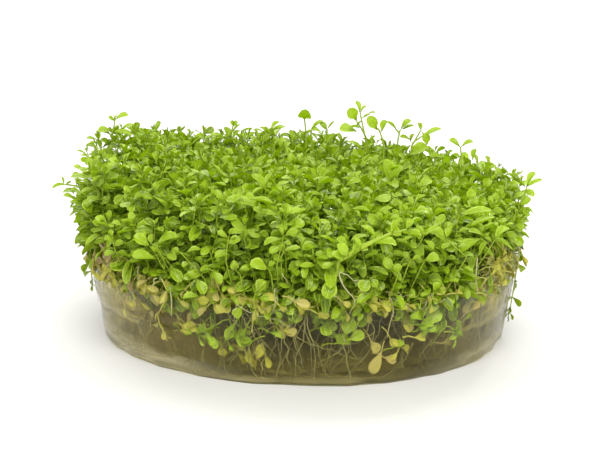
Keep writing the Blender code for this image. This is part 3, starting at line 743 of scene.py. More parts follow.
skylineShoots = (
    (20, (((12.3, 35.4), (11.2, 37.4), (10, 39.1)),), (
        (10.2, 39, -31, 20, 3.1, 0, 0, 0.95), (10.3, 36.6, -70, 15, 4.1, 2, 37, 1.15),
        (11.2, 37.4, -73, 40, 2.6, 4, 52, 0.9),)),
    (19, (((21.7, 33.9), (22.5, 35.4), (23.5, 37.3)),), (
        (23.6, 37.3, -19, 0, 1.8, 0, 37, 0.8), (21.5, 34.8, 9, 0, 2.1, 2, 43, 0.5),
        (21.5, 35.3, -62, 20, 2.3, 2, 47, 0.5), (23.6, 37.1, 147, 0, 1, 2, 45, 0.8),)),
    (10, (((37.2, 30), (37.1, 31.2), (37, 32.3)),), (
        (37.1, 32.2, -8, 0, 2.5, 2, 51, 0.8), (37.1, 31.2, 49, 0, 1.8, 2, 40, 0.8),
        (37.1, 31, -56, 0, 1.8, 2, 38, 0.8), (39.4, 30, -6, 10, 1.8, 2, 39, 0.8),)),
    (10, (((-42.3, 33.4), (-42.5, 34.8), (-43.1, 35.7)), ((-41.5, 32.6), (-41.5, 33.8))), (
        (-42.3, 35.6, -76, 0, 1.9, 2, 34, 1.1), (-42, 35, -91, 10, 2.2, 2, 50, 0.8),
        (-41.5, 33.4, -14, 0, 2.4, 2, 50, 0.5), (-39.1, 34.2, -50, 10, 2.5, 2, 35, 0.6),
        (-44.1, 31.9, -68, 0, 1.8, 4, 45, 0.8), (-44.9, 28.8, -52, 0, 2.3, 2, 47, 0.9),
        (-45.3, 28, -74, 0, 2.1, 2, 42, 0.9),)),
    (12, (((-33.5, 34), (-33.9, 35.5), (-35.2, 36.7)),), (
        (-35.6, 37, 124, 10, 2.5, 0, 33, 0.8), (-35, 37.1, -136, 10, 1.8, 0, 38, 0.75),)),
    (16, (((-32.8, 32.4), (-32.9, 34), (-32.9, 35.7)),), (
        (-32.9, 35.5, -39, 0, 2, 2, 52, 0.4), (-32.8, 35.7, 25, 0, 1.5, 0, 33, 0.4),
        (-32.8, 35.3, 47, 0, 2.2, 4, 62, 0.5), (-32.9, 34.9, -74, 20, 1.5, 2, 35, 0.5),
        (-32.8, 34.7, 47, 10, 1.4, 0, 38, 0.4),)),
    (20, (((-29.7, 31.2), (-29.7, 32.9), (-29.9, 34.1)),), (
        (-30, 34.1, -56, 10, 2.4, 2, 37, 0.8), (-29.8, 32.4, -22, 0, 2.2, 2, 32, 0.45),
        (-29.8, 34, 50, 0, 2, 4, 50, 0.6), (-28, 32.3, 9, 0, 1.8, 2, 31, 0.6),)),
    (26, (((-24, 30.9), (-24.2, 32.6), (-24.3, 33.7)),), (
        (-24.3, 33.5, -10, 0, 1.8, 2, 53, 0.6), (-24.9, 32.7, -86, 0, 2.4, 4, 64, 0.8),
        (-24.9, 32.8, -40, 0, 2.2, 4, 58, 0.7), (-23.9, 32.6, 53, 10, 2.8, 4, 32, 0.9),
        (-24.2, 33.5, 30, 0, 1.2, 2, 46, 0.7),)),
    (28, (((-16.6, 30.7), (-16.8, 32.2), (-17, 33)),), (
        (-17, 32.9, -71, 10, 3.5, 4, 62, 0.8), (-16.5, 32.6, -5, 0, 2.8, 2, 53, 0.45),)),
    (28, (((-13.7, 31.6), (-13.7, 33.3), (-13.6, 34.6)),), (
        (-13.7, 34.5, 74, 0, 2.1, 4, 41, 0.9), (-10.1, 32.3, -4, 0, 2.2, 2, 42, 0.6),
        (-9.3, 34.6, -79, 0, 1.9, 4, 61, 1.1),)),
    (26, (((-2.3, 31), (-2.4, 32.7), (-2.4, 34)),), (
        (-2.4, 32.8, -22, 0, 2.4, 2, 49, 0.6), (-3.7, 34.2, -74, 0, 1.4, 4, 49, 0.8),
        (-2.2, 34, 36, 0, 1.7, 4, 41, 0.6), (-4.4, 31.6, -14, 0, 2, 2, 45, 0.5),)),
    (24, (((4.5, 31.6), (4.3, 33.7), (4.3, 35.8)), ((1.4, 33.2), (0.9, 34.5), (1, 36))), (
        (1, 36.1, 44, 0, 3.2, 4, 61, 0.8), (3.1, 35.5, -66, 10, 2.5, 2, 45, 1.1),
        (4.4, 35.7, -35, 0, 2.4, 2, 31, 0.45), (4.4, 36.2, 34, 0, 1.8, 4, 55, 0.7),
        (4.9, 33.4, 22, 0, 2.3, 2, 41, 0.5), (2.4, 33.7, -36, 0, 1.8, 2, 48, 0.6),)),
    (14, (((28, 31.2), (27.9, 32.6), (27.5, 33.7)),), (
        (28.5, 32.6, -68, 20, 3.1, 2, 48, 0.7), (28.5, 33.1, 43, 0, 1.7, 2, 53, 0.7),
        (25.3, 33, 5, 0, 1.7, 2, 34, 0.8),)),
    (6, (((40.6, 28.1), (40.9, 29.3)),), (
        (39.7, 30.9, -38, 0, 2.1, 2, 54, 0.8), (40.6, 28.9, -31, 0, 1.7, 2, 34, 0.8),
        (42, 27.7, -31, 0, 2.1, 2, 35, 0.7), (43.5, 26.9, -26, 0, 2, 2, 32, 0.7),
        (34.7, 33.3, -20, 0, 1.9, 2, 27, 0.7),)),
    (-4, (((42.8, 23.9), (43.4, 25)), ((42.3, 27.6), (43.6, 29.2))), (
        (43, 24.3, 44, 0, 2.2, 4, 40, 0.7), (42.5, 27.2, 49, 0, 2.5, 0, 39, 0.8),
        (43.4, 21.1, -42, 0, 1.9, 4, 34, 0.6), (42, 20.6, 52, 0, 1.7, 0, 0, 0.7),
        (42.4, 25.5, 38, 0, 2.1, 2, 35, 0.7),)),
    (-3, (((-44.5, 25.6), (-45.9, 26.8)),), (
        (-45.3, 26, -59, 10, 2.7, 2, 55, 0.8), (-44.7, 24.1, -71, 0, 2, 4, 49, 0.8),
        (-44.5, 27.6, -64, 0, 1.8, 2, 38, 0.7), (-43.9, 21.5, -37, 0, 2, 2, 46, 0.6),
        (-43.4, 18.7, -41, 0, 2.1, 2, 43, 0.6), (-42.8, 15.8, -45, 0, 2, 2, 38, 0.5),
        (-42.4, 13.4, -32, 0, 1.9, 2, 43, 0.5),)),
)
frontShoots = (
    (-35.9, (((-23.2, 18.1), (-24.4, 21.4), (-26.6, 24.2), (-29.1, 26.8)),), (
        (-27.2, 22.9, -71, 20, 4.4, 2, 45, 0.85), (-25.9, 23.8, -50, 10, 3.2, 2, 41, 0.75),
        (-24.9, 21.3, 131, 30, 3.4, 0, 12, 0.6), (-27, 24.7, 62, 0, 2.1, 2, 34, 0.8),
        (-29.1, 26.7, -39, 10, 1.8, 0, 39, 0.9),)),
    (-37.3, (((-26.6, 24.5), (-27.3, 25.8)),), (
        (-27.3, 25.8, 53, 10, 4.9, 2, 50, 0.8),)),
    (-36.4, (((-27.4, 23.9), (-28.5, 25.4)),), (
        (-28.5, 25.4, -47, 20, 3.8, 2, 23, 0.85), (-28.3, 25.6, 5, 10, 2.1, 0, 38, 0.75),)),
    (-40.2, (((-18.2, 20.5), (-20.1, 22.6), (-22.7, 25.4)),), (
        (-21.6, 25.2, 62, 0, 3, 2, 55, 0.95), (-20.9, 23.5, -116, 20, 1.9, 0, 30, 0.6),
        (-19.2, 21.7, 65, 20, 2.6, 0, 29, 0.65), (-22.7, 25.3, -56, 0, 1.8, 0, 38, 0.8),)),
    (-44.5, (((-11.5, 22.6), (-12.3, 23.3)),), (
        (-12.3, 23.2, -9, 30, 3, 0, 0, 0.8), (-11.9, 23.2, 74, 0, 2.3, 2, 40, 0.9),)),
    (-45.8, (((-5.7, 22.7), (-6.4, 24.2)),), (
        (-6.3, 24.1, -67, 25, 4.2, 0, 36, 1), (-6.4, 24.2, 43, 10, 2.1, 0, 37, 0.7),)),
    (-46, (((-4.8, 24.7), (-4.3, 27.3), (-3.7, 30.3)),), (
        (-3.8, 29.9, -100, 10, 3.9, 2, 45, 0.8), (-4.1, 28.4, -116, 20, 2.3, 0, 16, 0.75),
        (-3.6, 30.1, 53, 10, 2.9, 2, 34, 0.8), (-4, 29, 89, 0, 1.6, 2, 32, 0.8),
        (-3.7, 30.3, -20, 0, 2, 2, 28, 0.9),)),
    (-46.1, (((-4.1, 26.2), (-3.5, 27.6)),), (
        (-3.5, 27.6, 70, 0, 3, 4, 38, 0.95),)),
    (-44.1, (((-14.1, 24.7), (-14, 27.1), (-13.6, 29.6)),), (
        (-13.8, 28.1, 60, 10, 2.8, 0, 35, 0.75), (-14, 27.1, -122, 20, 2.7, 0, 22, 0.8),
        (-13.6, 29.2, -55, 10, 2.3, 2, 23, 0.8), (-13.6, 29.6, 22, 0, 1.8, 2, 41, 0.9),)),
    (-41.8, (((-20.7, 19.4), (-19.6, 20.9)),), (
        (-19.6, 20.8, 143, 30, 3.6, 0, 21, 0.55), (-18.7, 17.4, -80, 15, 4.1, 2, 53, 0.6),
        (-19.6, 20.7, -49, 0, 2, 0, 31, 0.6),)),
    (-45.4, (((-8.9, 18), (-8.5, 19.5)),), (
        (-8.5, 19.4, 32, 20, 3.5, 0, 37, 0.5), (-8.1, 18.4, 89, 25, 2.8, 0, 26, 0.5),)),
    (-43.2, (((-17.4, 23.2), (-16.5, 22.7)),), (
        (-16.5, 22.7, 140, 25, 3.2, 0, 29, 0.8),)),
    (-40.6, (((17.2, 23.1), (18.4, 25.4), (20, 27.1), (21.4, 28.4), (22, 29.8)),), (
        (21.9, 29.6, -30, 0, 2.9, 4, 36, 0.9), (22, 29.6, 51, 0, 3.1, 2, 52, 1),
        (22, 29, 131, 10, 2.3, 0, 37, 0.8), (20, 27.1, -53, 0, 3.3, 4, 57, 0.95),
        (18.6, 25.6, -62, 10, 1.9, 0, 30, 0.8), (19.8, 26.9, 116, 0, 1.7, 2, 33, 0.8),)),
    (-41.8, (((18.7, 22.6), (19.2, 24.2), (19.7, 25.5)),), (
        (19.7, 25.3, 64, 0, 1.8, 0, 39, 1), (19.5, 25.4, -41, 0, 2.3, 2, 35, 1),
        (19.3, 24.6, -108, 0, 1.3, 0, 32, 0.9),)),
    (-38.1, (((30.1, 25.2), (28, 27), (26.1, 28.7)),), (
        (26.1, 28.6, -51, 10, 2.8, 0, 27, 0.95), (26.3, 28.7, 15, 0, 2.5, 0, 37, 0.9),
        (27.3, 27.6, -109, 10, 1.9, 0, 38, 0.8), (28.4, 26.9, 61, 0, 2.1, 2, 33, 0.8),)),
    (-32.4, (((34.1, 26.7), (33, 27.4)),), (
        (33, 27.4, -112, 10, 4.5, 2, 43, 0.8), (33.7, 27.9, -64, 5, 3.2, 2, 45, 0.85),)),
    (-29.3, (((34.3, 23.6), (35.2, 25.2), (35.8, 26.4)),), (
        (35.8, 26.4, 35, 0, 4.4, 2, 54, 0.95), (33.2, 22.6, 11, 0, 3.2, 2, 53, 1),
        (35.5, 25.8, -46, 0, 1.9, 2, 43, 0.8),)),
    (-45.9, (((6.3, 24.2), (5.6, 22.6)),), (
        (5.6, 22.7, -159, 30, 3.9, 0, 0, 0.45),)),
    (-44.6, (((13.3, 22.9), (12.2, 22.3)),), (
        (12.2, 22.2, -136, 25, 3.4, 0, 6, 0.6), (12.2, 22.3, 131, 20, 2.4, 0, 19, 0.5),)),
    (-44.4, (((13.5, 20.8), (12.6, 19.8)),), (
        (12.8, 19.8, -122, 25, 3.7, 0, 25, 0.5),)),
    (-43.3, (((17.3, 22.6), (16.2, 23.7)),), (
        (16.2, 23.7, -29, 15, 2.7, 0, 0, 0.9), (16.4, 23.5, 53, 10, 2.3, 0, 30, 0.7),)),
    (-40.5, (((21.8, 23.9), (22.3, 25)),), (
        (22.3, 25, 72, 10, 3.3, 0, 36, 0.8), (22.1, 24.8, -74, 10, 2, 0, 30, 0.7),)),
    (-39.3, (((24.1, 17.5), (24.2, 18.7)),), (
        (24.2, 18.7, 24, 10, 2.6, 2, 29, 0.75), (23.9, 18.5, -97, 10, 2.1, 2, 23, 0.85),)),
    (-28.8, (((-34.6, 20.2), (-35.5, 22.5), (-36.1, 24.9)),), (
        (-35.9, 24.1, -59, 10, 2.2, 0, 41, 0.7), (-35.7, 23.3, 57, 10, 2.3, 0, 30, 0.75),
        (-36.1, 24.9, -11, 0, 2, 2, 28, 0.8), (-35.2, 21.4, 66, 10, 2.1, 0, 36, 0.6),
        (-35.4, 22.2, -103, 10, 2, 0, 31, 0.6),)),
    (-43.1, (((11.6, 30.7), (12.9, 30.6), (10.4, 33.3)),), (
        (10.4, 33.2, -31, 0, 1.8, 2, 41, 0.9), (11.2, 32.2, 56, 0, 1.7, 2, 36, 0.8),)),
    (-30.5, (((-6.8, 30.2), (-7.3, 34.1), (-7.4, 36.3)),), (
        (-7.3, 33.5, 51, 10, 5.1, 4, 35, 1), (-7.4, 35.2, -34, 5, 5, 4, 33, 0.95),
        (-7.3, 36, 14, 0, 2.8, 2, 51, 0.9), (-7.3, 33.9, 93, 10, 2.5, 2, 33, 0.9),)),
    (-17.8, (((2.5, 31.4), (2.2, 33.7), (2.4, 35.3)),), (
        (2.4, 34.5, -27, 10, 3.1, 0, 35, 0.95), (2.4, 34.9, 46, 10, 2.9, 0, 39, 0.9),
        (2.2, 33.3, -81, 10, 2.2, 0, 39, 0.8),)),
    (-11.4, (((16.7, 30.3), (16.6, 32.2), (16.4, 33.8)),), (
        (16.4, 33.4, -12, 5, 4.2, 0, 37, 1.05), (16.6, 33.4, 27, 10, 4.1, 2, 47, 1),
        (16.6, 31.9, -103, 10, 2, 0, 33, 0.9),)),
    (-20.4, (((8.6, 32.1), (7.8, 33.3), (7, 34.6)),), (
        (7, 34.4, -77, 10, 2.4, 0, 35, 0.9), (7.6, 34, 56, 5, 2.9, 2, 34, 0.9),)),
    (-33.2, (((19.6, 30.4), (19.9, 32.3), (20.2, 33.5)),), (
        (20.1, 32.1, 71, 5, 3.7, 2, 53, 0.95), (19.9, 31.9, -49, 5, 2.5, 2, 35, 0.9),
        (20.2, 33.3, -23, 0, 2, 2, 32, 0.9),)),
    (-37.8, (((8.3, 32.7), (8.7, 33.9)),), (
        (8.7, 33.7, 86, 0, 4, 4, 55, 1), (13.3, 33, 61, 0, 3.1, 4, 41, 1),)),
    (-32.8, (((28.2, 30.5), (28.9, 31.9)),), (
        (29, 31.9, 72, 5, 5.4, 4, 51, 0.95), (30.8, 29.8, 61, 0, 4.6, 4, 66, 0.9),)),
    (-38.6, (((-11, 34), (-11.4, 35.3)),), (
        (-8.6, 33.8, -72, 5, 5.6, 4, 34, 0.85), (-9.9, 35.3, 91, 0, 4.6, 4, 63, 0.9),)),
)


# the gel's wall, which the roots and the sunken leaves follow
gelShape = {
    "height": 0.0155,
    "footRadius": 0.0403,
    "flare": 0.0020,
    "footRound": 0.0006,
    "footHeight": 0.0010,
    "base": (-0.00008, 0.0396),
    "footLevels": (0.00015, 0.0004, 0.0007, 0.0011, 0.0018, 0.0026),
    "wallRise": 0.0121,
    "wallSteps": 22,
    "top": ((0.0151, 0.0422), (0.0154, 0.0420), (0.0155, 0.0416), (0.0154, 0.0400), (0.0153, 0.0300),
            (0.0153, 0.0150)),
    "sides": 180,
    "ledgeHeight": 0.0084,
    "ledge": 0.00055,
    "ledgeWave": 0.0006,
    "waves": (0.00018, 0.00012),
    "footBumps": 0.0007,
    "bumps": 0.00012,
}


def gelWall(height):
    share = min(1.0, max(0.0, height / gelShape["height"]))
    foot = max(0.0, 1.0 - height / gelShape["footHeight"]) ** 2
    return gelShape["footRadius"] + gelShape["flare"] * share - gelShape["footRound"] * foot


def wallPlace(angle, height, reach):
    # angle from the front in degrees
    turn = math.radians(angle)
    return Vector((math.sin(turn) * reach, -math.cos(turn) * reach, height))


def seatsOf(prefix):
    # the nodes of that kind, and where the middle of each one stands
    seats = []
    for node in sorted(n for n in frame["nodes"] if n.startswith(prefix)):
        low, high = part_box(node)
        seats.append((node, 0.5 * (low[0] + high[0]), 0.5 * (low[1] + high[1])))
    return seats


def nearest(seats, x, y):
    return min(seats, key=lambda seat: (seat[1] - x) ** 2 + (seat[2] - y) ** 2)[0]


# the cushion: separate plants, each a node of the frame
cushion = {
    "radius": 0.0440,
    "height": 0.0342,
    "slopeX": -0.075,
    "slopeY": -0.030,
    "rimDrop": 0.0020,
    "clump": 0.0013,
    "rootLevel": gelShape["height"] - 0.001,
    "seed": 11,
}
# how far the shoots' tops lie above the even slope, from left to right, in mm
skylineMarks = (
    (-45, 0.2), (-40, 1.7), (-35, 1.6), (-30, 0.4), (-24, -0.8), (-14, -0.9), (-4, -0.4), (6, 0), (16, 0.2),
    (26, 0.3), (34, 0.8), (40, 1.6), (45, 1.8),
)
# gaps between the plants where the shoots stand lower: x, y, radius in mm
hollows = (
    (-35.5, -22.9, 2.6), (-27.7, -19.7, 3), (-18.3, -41.6, 2), (-8.4, -31.4, 2.4), (-7.3, 1.7, 2.2),
    (2.5, -37.3, 3.4), (18.8, 8.2, 2.4), (-22.1, -10, 1.8), (-30.9, -28.5, 1.8), (27.5, -8.1, 2),
    (9.1, -4.6, 2), (7.2, -16.7, 1.8), (-15.5, -29.7, 1.6), (-1.5, -27.3, 1.8), (34, 2, 2), (22, -22, 1.8),
    (-12, 16, 2.4), (10, 24, 2.2), (26, 24, 2.4), (-30, 14, 2), (0, 36, 2.2), (-20, 30, 2),
)
# places at the rim where old leaves show instead of fresh ones: degrees from the front, height and radius in mm
rimGaps = (
    (-57, 18.3, 5.2), (-67, 17.5, 4.8), (-50.5, 15.3, 3.4), (-19, 17.6, 2.6), (-25.3, 15.8, 1.8),
    (-0.1, 17.2, 2), (21.4, 16.2, 2), (60, 20.5, 5.2), (70, 18.5, 4.8), (-34, 16, 2), (46.5, 16.2, 2),
    (118, 18, 3), (-128, 17.5, 3), (166, 17.5, 2.4),
)
plantSeats = seatsOf("plant_")


def skylineLift(x):
    for (xa, a), (xb, b) in zip(skylineMarks, skylineMarks[1:]):
        if x * 1000 <= xb:
            return (a + (b - a) * smooth((x * 1000 - xa) / (xb - xa))) / 1000
    return skylineMarks[-1][1] / 1000


def canopyHeight(x, y):
    r = math.hypot(x, y)
    even = (cushion["height"] + cushion["slopeX"] * x + cushion["slopeY"] * y
            - cushion["rimDrop"] * (r / cushion["radius"]) ** 4)
    clump = cushion["clump"] * noise.noise(Vector((x * 130, y * 130, 3.1)))
    return even + skylineLift(x) * smooth((y + 0.012) / 0.024) + clump


def hollowDepth(x, y):
    deepest = 0.0
    for hx, hy, radius in hollows:
        away = math.hypot(x * 1000 - hx, y * 1000 - hy) / radius
        deepest = max(deepest, 1.0 - smooth((away - 0.55) / 0.75))
    return deepest


def inRimGap(angle, height):
    for gapAngle, gapHeight, radius in rimGaps:
        turn = (angle - gapAngle + 180.0) % 360.0 - 180.0
        if math.hypot(turn * 0.78, height * 1000 - gapHeight) < radius:
            return True
    return False


# the shoots that make the top, on a loose grid
topShoot = {
    "spacing": 0.0031,
    "scatter": 0.0011,
    "edge": 0.0006,  # how far inside the cushion's radius they end
    "hollowBare": 0.85,  # the share of them that is missing in a hollow
    "hollowDrop": 0.0035,
    "drop": 0.0004,
    "dropSpread": (-0.0032, 0.0012, -0.0002),
    "leanFrom": 0.030,  # the distance from the middle where they start to lean out
    "leanOver": 0.015,
    "tipSpread": 0.0007,
    "rootSpread": 0.0016,
    "rootReach": 0.0400,
    "sway": 0.0013,
    "tallShare": 0.07,
    "tallBack": 0.008,  # no tall ones behind this y
    "tallRise": (0.0008, 0.0030),
    "tallGap": (0.95, 1.3),
    "tallSize": 1.04,
    "tallTint": 0.1,
    "gap": (0.85, 1.1),
    "size": (0.92, 1.28),
    "tint": 0.47,
    "tintToBack": -3.0,
    "tintClouds": 0.30,
    "tintSpread": 0.14,
    "lift": (0.20, 0.45),
}


def topShoots(stores, rng):
    count, step = 0, topShoot["spacing"]
    rows = int(cushion["radius"] / (step * 0.866)) + 1
    for j in range(-rows, rows + 1):
        for i in range(-rows - 2, rows + 3):
            x = (i + 0.5 * (j % 2)) * step + rng.gauss(0, topShoot["scatter"])
            y = j * step * 0.866 + rng.gauss(0, topShoot["scatter"])
            r = math.hypot(x, y)
            draws = [rng.random() for k in range(4)]
            if r > cushion["radius"] - topShoot["edge"]:
                continue
            hollow = hollowDepth(x, y)
            if hollow > 0.5 and draws[0] < topShoot["hollowBare"]:
                continue
            outward = Vector((x, y, 0)) / max(r, 1e-6)
            lean = smooth((r - topShoot["leanFrom"]) / topShoot["leanOver"])
            tall = draws[1] < topShoot["tallShare"] and y < topShoot["tallBack"]
            top = canopyHeight(x, y) - topShoot["drop"] + rng.triangular(*topShoot["dropSpread"])
            top -= topShoot["hollowDrop"] * hollow
            if tall:
                top += topShoot["tallRise"][1] * draws[2] + topShoot["tallRise"][0]
            tip = Vector((x, y, top)) + loose(rng, topShoot["tipSpread"])
            root = Vector((x, y, 0)) * (0.985 - 0.10 * lean) + loose(rng, topShoot["rootSpread"])
            if root.xy.length > topShoot["rootReach"]:
                root *= topShoot["rootReach"] / root.xy.length
            root.z = cushion["rootLevel"]
            path = pathPoints(root, tip, loose(rng, topShoot["sway"]) - outward * 0.0010 * lean, 4)
            clouds = topShoot["tintClouds"] * noise.noise(Vector((x * 90, y * 90, 8.0)))
            tint = topShoot["tint"] + topShoot["tintToBack"] * y + clouds + rng.gauss(0, topShoot["tintSpread"])
            growShoot(stores[nearest(plantSeats, root.x, root.y)], path, rng, pairs=6 if tall else 5,
                      size=rng.uniform(*topShoot["size"]) * (topShoot["tallSize"] if tall else 1.0),
                      tint=tint + (topShoot["tallTint"] if tall else 0.0),
                      gap=rng.uniform(*topShoot["tallGap" if tall else "gap"]),
                      lift=topShoot["lift"][0] + topShoot["lift"][1] * draws[3])
            count += 1
    return count


# the shoots that make the sides: rows round the rim, each row with an outer and an inner layer
rimShoot = {
    "rows": (0.0168, 0.0190, 0.0212, 0.0234, 0.0256, 0.0278),
    "round": 0.0445,  # the radius on which they are spaced out
    "spacing": 0.0029,
    "innerSpacing": 0.45,
    "angleSpread": 0.030,
    "heightSpread": 0.0010,
    "reach": 0.0405,
    "reachSpread": 0.0009,
    "reachLimit": 0.0452,
    "flare": 0.34,
    "flareFrom": 0.0165,
    "innerReach": 0.0030,
    "topRadius": 0.042,
    "underTop": 0.0020,
    "bareShare": 0.08,
    "frontReach": 0.0008,  # how much less far they reach towards the front
    "rightReach": 0.0028,  # and low on the right
    "rootRadius": 0.0385,
    "sway": 0.0013,
    "sag": -0.0006,
    "tint": 0.58,
    "innerTint": 0.18,
    "tintClouds": 0.3,
    "tintSpread": 0.15,
    "forms": (0, 1, 2, 2, 3, 6, 7, 7),
    "size": (0.76, 1.36),
    "gap": (0.70, 1.05),
    "lift": 0.30,
    "outward": 0.40,
}


def rimShoots(stores, rng):
    count = 0
    for row, (z, layer) in enumerate([(z, layer) for z in rimShoot["rows"] for layer in (0, 1)]):
        spacing = rimShoot["spacing"] * (1.0 + rimShoot["innerSpacing"] * layer)
        around = int(tau * rimShoot["round"] / spacing)
        for i in range(around):
            angle = tau * (i + 0.25 * row) / around + rng.gauss(0, rimShoot["angleSpread"])
            outward = Vector((math.cos(angle), math.sin(angle), 0))
            height = z + rng.gauss(0, rimShoot["heightSpread"])
            flare = rimShoot["flare"] * (height - rimShoot["flareFrom"])
            reach = rimShoot["reach"] + flare + rng.gauss(0, rimShoot["reachSpread"])
            reach = min(reach, rimShoot["reachLimit"]) - rimShoot["innerReach"] * layer
            draws = [rng.random() for k in range(5)]
            top = canopyHeight(outward.x * rimShoot["topRadius"], outward.y * rimShoot["topRadius"])
            fromFront = math.degrees(math.atan2(outward.x, -outward.y))
            bare = draws[0] < rimShoot["bareShare"]
            if bare or height > top - rimShoot["underTop"] or inRimGap(fromFront, height):
                continue
            reach -= rimShoot["frontReach"] * smooth((60.0 - abs(fromFront)) / 30.0)
            if fromFront > 45.0:
                reach -= rimShoot["rightReach"] * smooth((0.0295 - height) / 0.007)
            sideways = Vector((-outward.y, outward.x, 0)) * (draws[1] - 0.5)
            tip = outward * reach + sideways * 0.004 + Vector((0, 0, height))
            root = outward * (rimShoot["rootRadius"] - 0.002 * draws[2]) - sideways * 0.006
            root.z = max(cushion["rootLevel"], height - 0.006 - 0.004 * draws[3])
            path = pathPoints(root, tip, Vector((0, 0, rimShoot["sag"])) + outward * rimShoot["sway"], 4)
            clouds = rimShoot["tintClouds"] * noise.noise(Vector((angle * 4, height * 90, 2.0)))
            tint = rimShoot["tint"] - rimShoot["innerTint"] * layer + clouds + rng.gauss(0, rimShoot["tintSpread"])
            growShoot(stores[nearest(plantSeats, root.x, root.y)], path, rng, pairs=4,
                      size=rng.uniform(*rimShoot["size"]), tint=tint, forms=rimShoot["forms"],
                      lift=rimShoot["lift"], gap=rng.uniform(*rimShoot["gap"]),
                      outward=outward * rimShoot["outward"] * draws[4])
            count += 1
    return count


def standingShoots(stores):
    # the ones that the photograph shows one by one, on the plants they grow from
    share = placed["nearPlant"]
    for shoots, looks in ((skylineShoots, {}), (frontShoots, placed["front"])):
        for depth, stems, leaves in shoots:
            x, y = stems[0][0][0] / 1000, depth / 1000
            store = stores[nearest(plantSeats, x * share, y * share)]
            placedShoot(store, depth, stems, leaves, placed["foot"], **looks)


def makeCushion():
    rng = random.Random(cushion["seed"])
    stores = {seat[0]: LeafStore() for seat in plantSeats}
    count = topShoots(stores, rng) + rimShoots(stores, rng)
    standingShoots(stores)
    for number, (plant, x, y) in enumerate(plantSeats):
        leaves = stores[plant].piece(plant.replace("plant", "leaves"), 20 + number, leafTissue)
        finishPiece(leaves, "leaf", plant)
    print("cushion:", count, "shoots,", sum(len(s.length) for s in stores.values()), "leaves")


def makeSprigs():
    for number, (name, shape) in enumerate(sprigShapes.items()):
        store = LeafStore()
        placedShoot(store, *shape, placed["sprigFoot"])
        sprig = store.piece(name.replace("sprig", "shoot"), 60 + number, leafTissue, sides=6,
                            widthSpread=0.04, lengthSpread=0.04)
        finishPiece(sprig, "young_leaf", name)


# the long shoot that leans across the front: x, y, z in mm along the stem, the stem's thickness in mm, and leaves
# with x, y, z of the foot and then as above
longShoot = {
    "stem": ((6.2, -45.2, 22.8), (6.3, -45.6, 25.6), (8.3, -45.8, 27.1), (10.6, -45.8, 28.6), (13.0, -45.8, 29.9),
             (15.6, -45.6, 31.1), (18.6, -45.2, 31.9)),
    "widths": (0.16, 0.34, 0.42, 0.44, 0.38, 0.26, 0.16),
    "tint": 1.0,
    "leaves": (
        (15.9, -45.8, 31.0, 14, 20, 3.4, 2, 44, 0.70), (12.6, -46.0, 29.3, 78, 10, 4.6, 2, 52, 0.85),
        (17.6, -45.4, 31.4, 92, 0, 3.6, 4, 58, 0.75), (13.0, -46.0, 30.4, -42, 0, 3.9, 4, 66, 0.9),
        (8.2, -46.2, 26.9, -39, 20, 3.5, 0, 16, 1.0), (7.5, -46.4, 26.1, -52, 20, 3.5, 0, 36, 0.9),
        (8.8, -46.2, 27.3, 34, 10, 2.2, 0, 40, 0.85), (18.4, -45.2, 31.8, 107, 10, 3.0, 2, 40, 0.75),
        (18.4, -45.2, 31.9, 34, 10, 2.0, 0, 41, 0.8), (6.0, -46.2, 25.6, -100, 20, 2.6, 2, 30, 0.85),
        (10.4, -46.2, 28.0, -20, 10, 2.6, 2, 40, 0.9)),
}


def makeLongShoot():
    store = LeafStore()
    line = [Vector(p) / 1000 for p in longShoot["stem"]]
    store.stems.append([(p, w / 1000, longShoot["tint"]) for p, w in zip(line, longShoot["widths"])])
    for x, y, z, *pose in longShoot["leaves"]:
        placedLeaf(store, Vector((x, y, z)) / 1000, *pose)
    finishPiece(store.piece("shoot_front_long", 81, leafTissue, sides=8), "young_leaf", "front_long_shoot")


trailing = {
    # name: turn in degrees round +Z from +X, bottom height, leaf pairs, leaf size, finish
    "trailing_shoot_right": (-4.0, 0.0040, 6, 0.90, leafTissue),
    "trailing_shoot_left": (186.0, 0.0092, 4, 0.90, leafTissue),
    "trailing_shoot_front": (232.0, 0.0072, 5, 0.80, agedTissue),
}
trailingLooks = {
    "top": 0.0185, "offWall": 0.0006, "tint": 0.50, "gap": 1.3, "spread": 0.7, "outward": 1.4, "seed": 51}


def makeTrailing():
    rng, top = random.Random(trailingLooks["seed"]), trailingLooks["top"]
    for number, (name, (turn, bottom, pairs, size, finish)) in enumerate(trailing.items()):
        store = LeafStore()
        path = []
        for i in range(7):
            z = top + (bottom - top) * i / 6
            angle = math.radians(turn + 2.0 * math.sin(i * 1.1))
            reach = gelWall(z) + trailingLooks["offWall"]
            path.append(Vector((math.cos(angle) * reach, math.sin(angle) * reach, z)))
        outward = Vector((math.cos(math.radians(turn)), math.sin(math.radians(turn)), 0))
        growShoot(store, path, rng, pairs=pairs, size=size, tint=trailingLooks["tint"], forms=(2, 3),
                  gap=trailingLooks["gap"], lift=0.0, spread=trailingLooks["spread"],
                  outward=outward * trailingLooks["outward"])
        shoot = store.piece(name.replace("trailing_shoot", "shoot_trailing"), 90 + number, finish, sides=5)
        finishPiece(shoot, "young_leaf", name)


makeCushion()
makeSprigs()
makeLongShoot()
makeTrailing()
print("single shoots made")


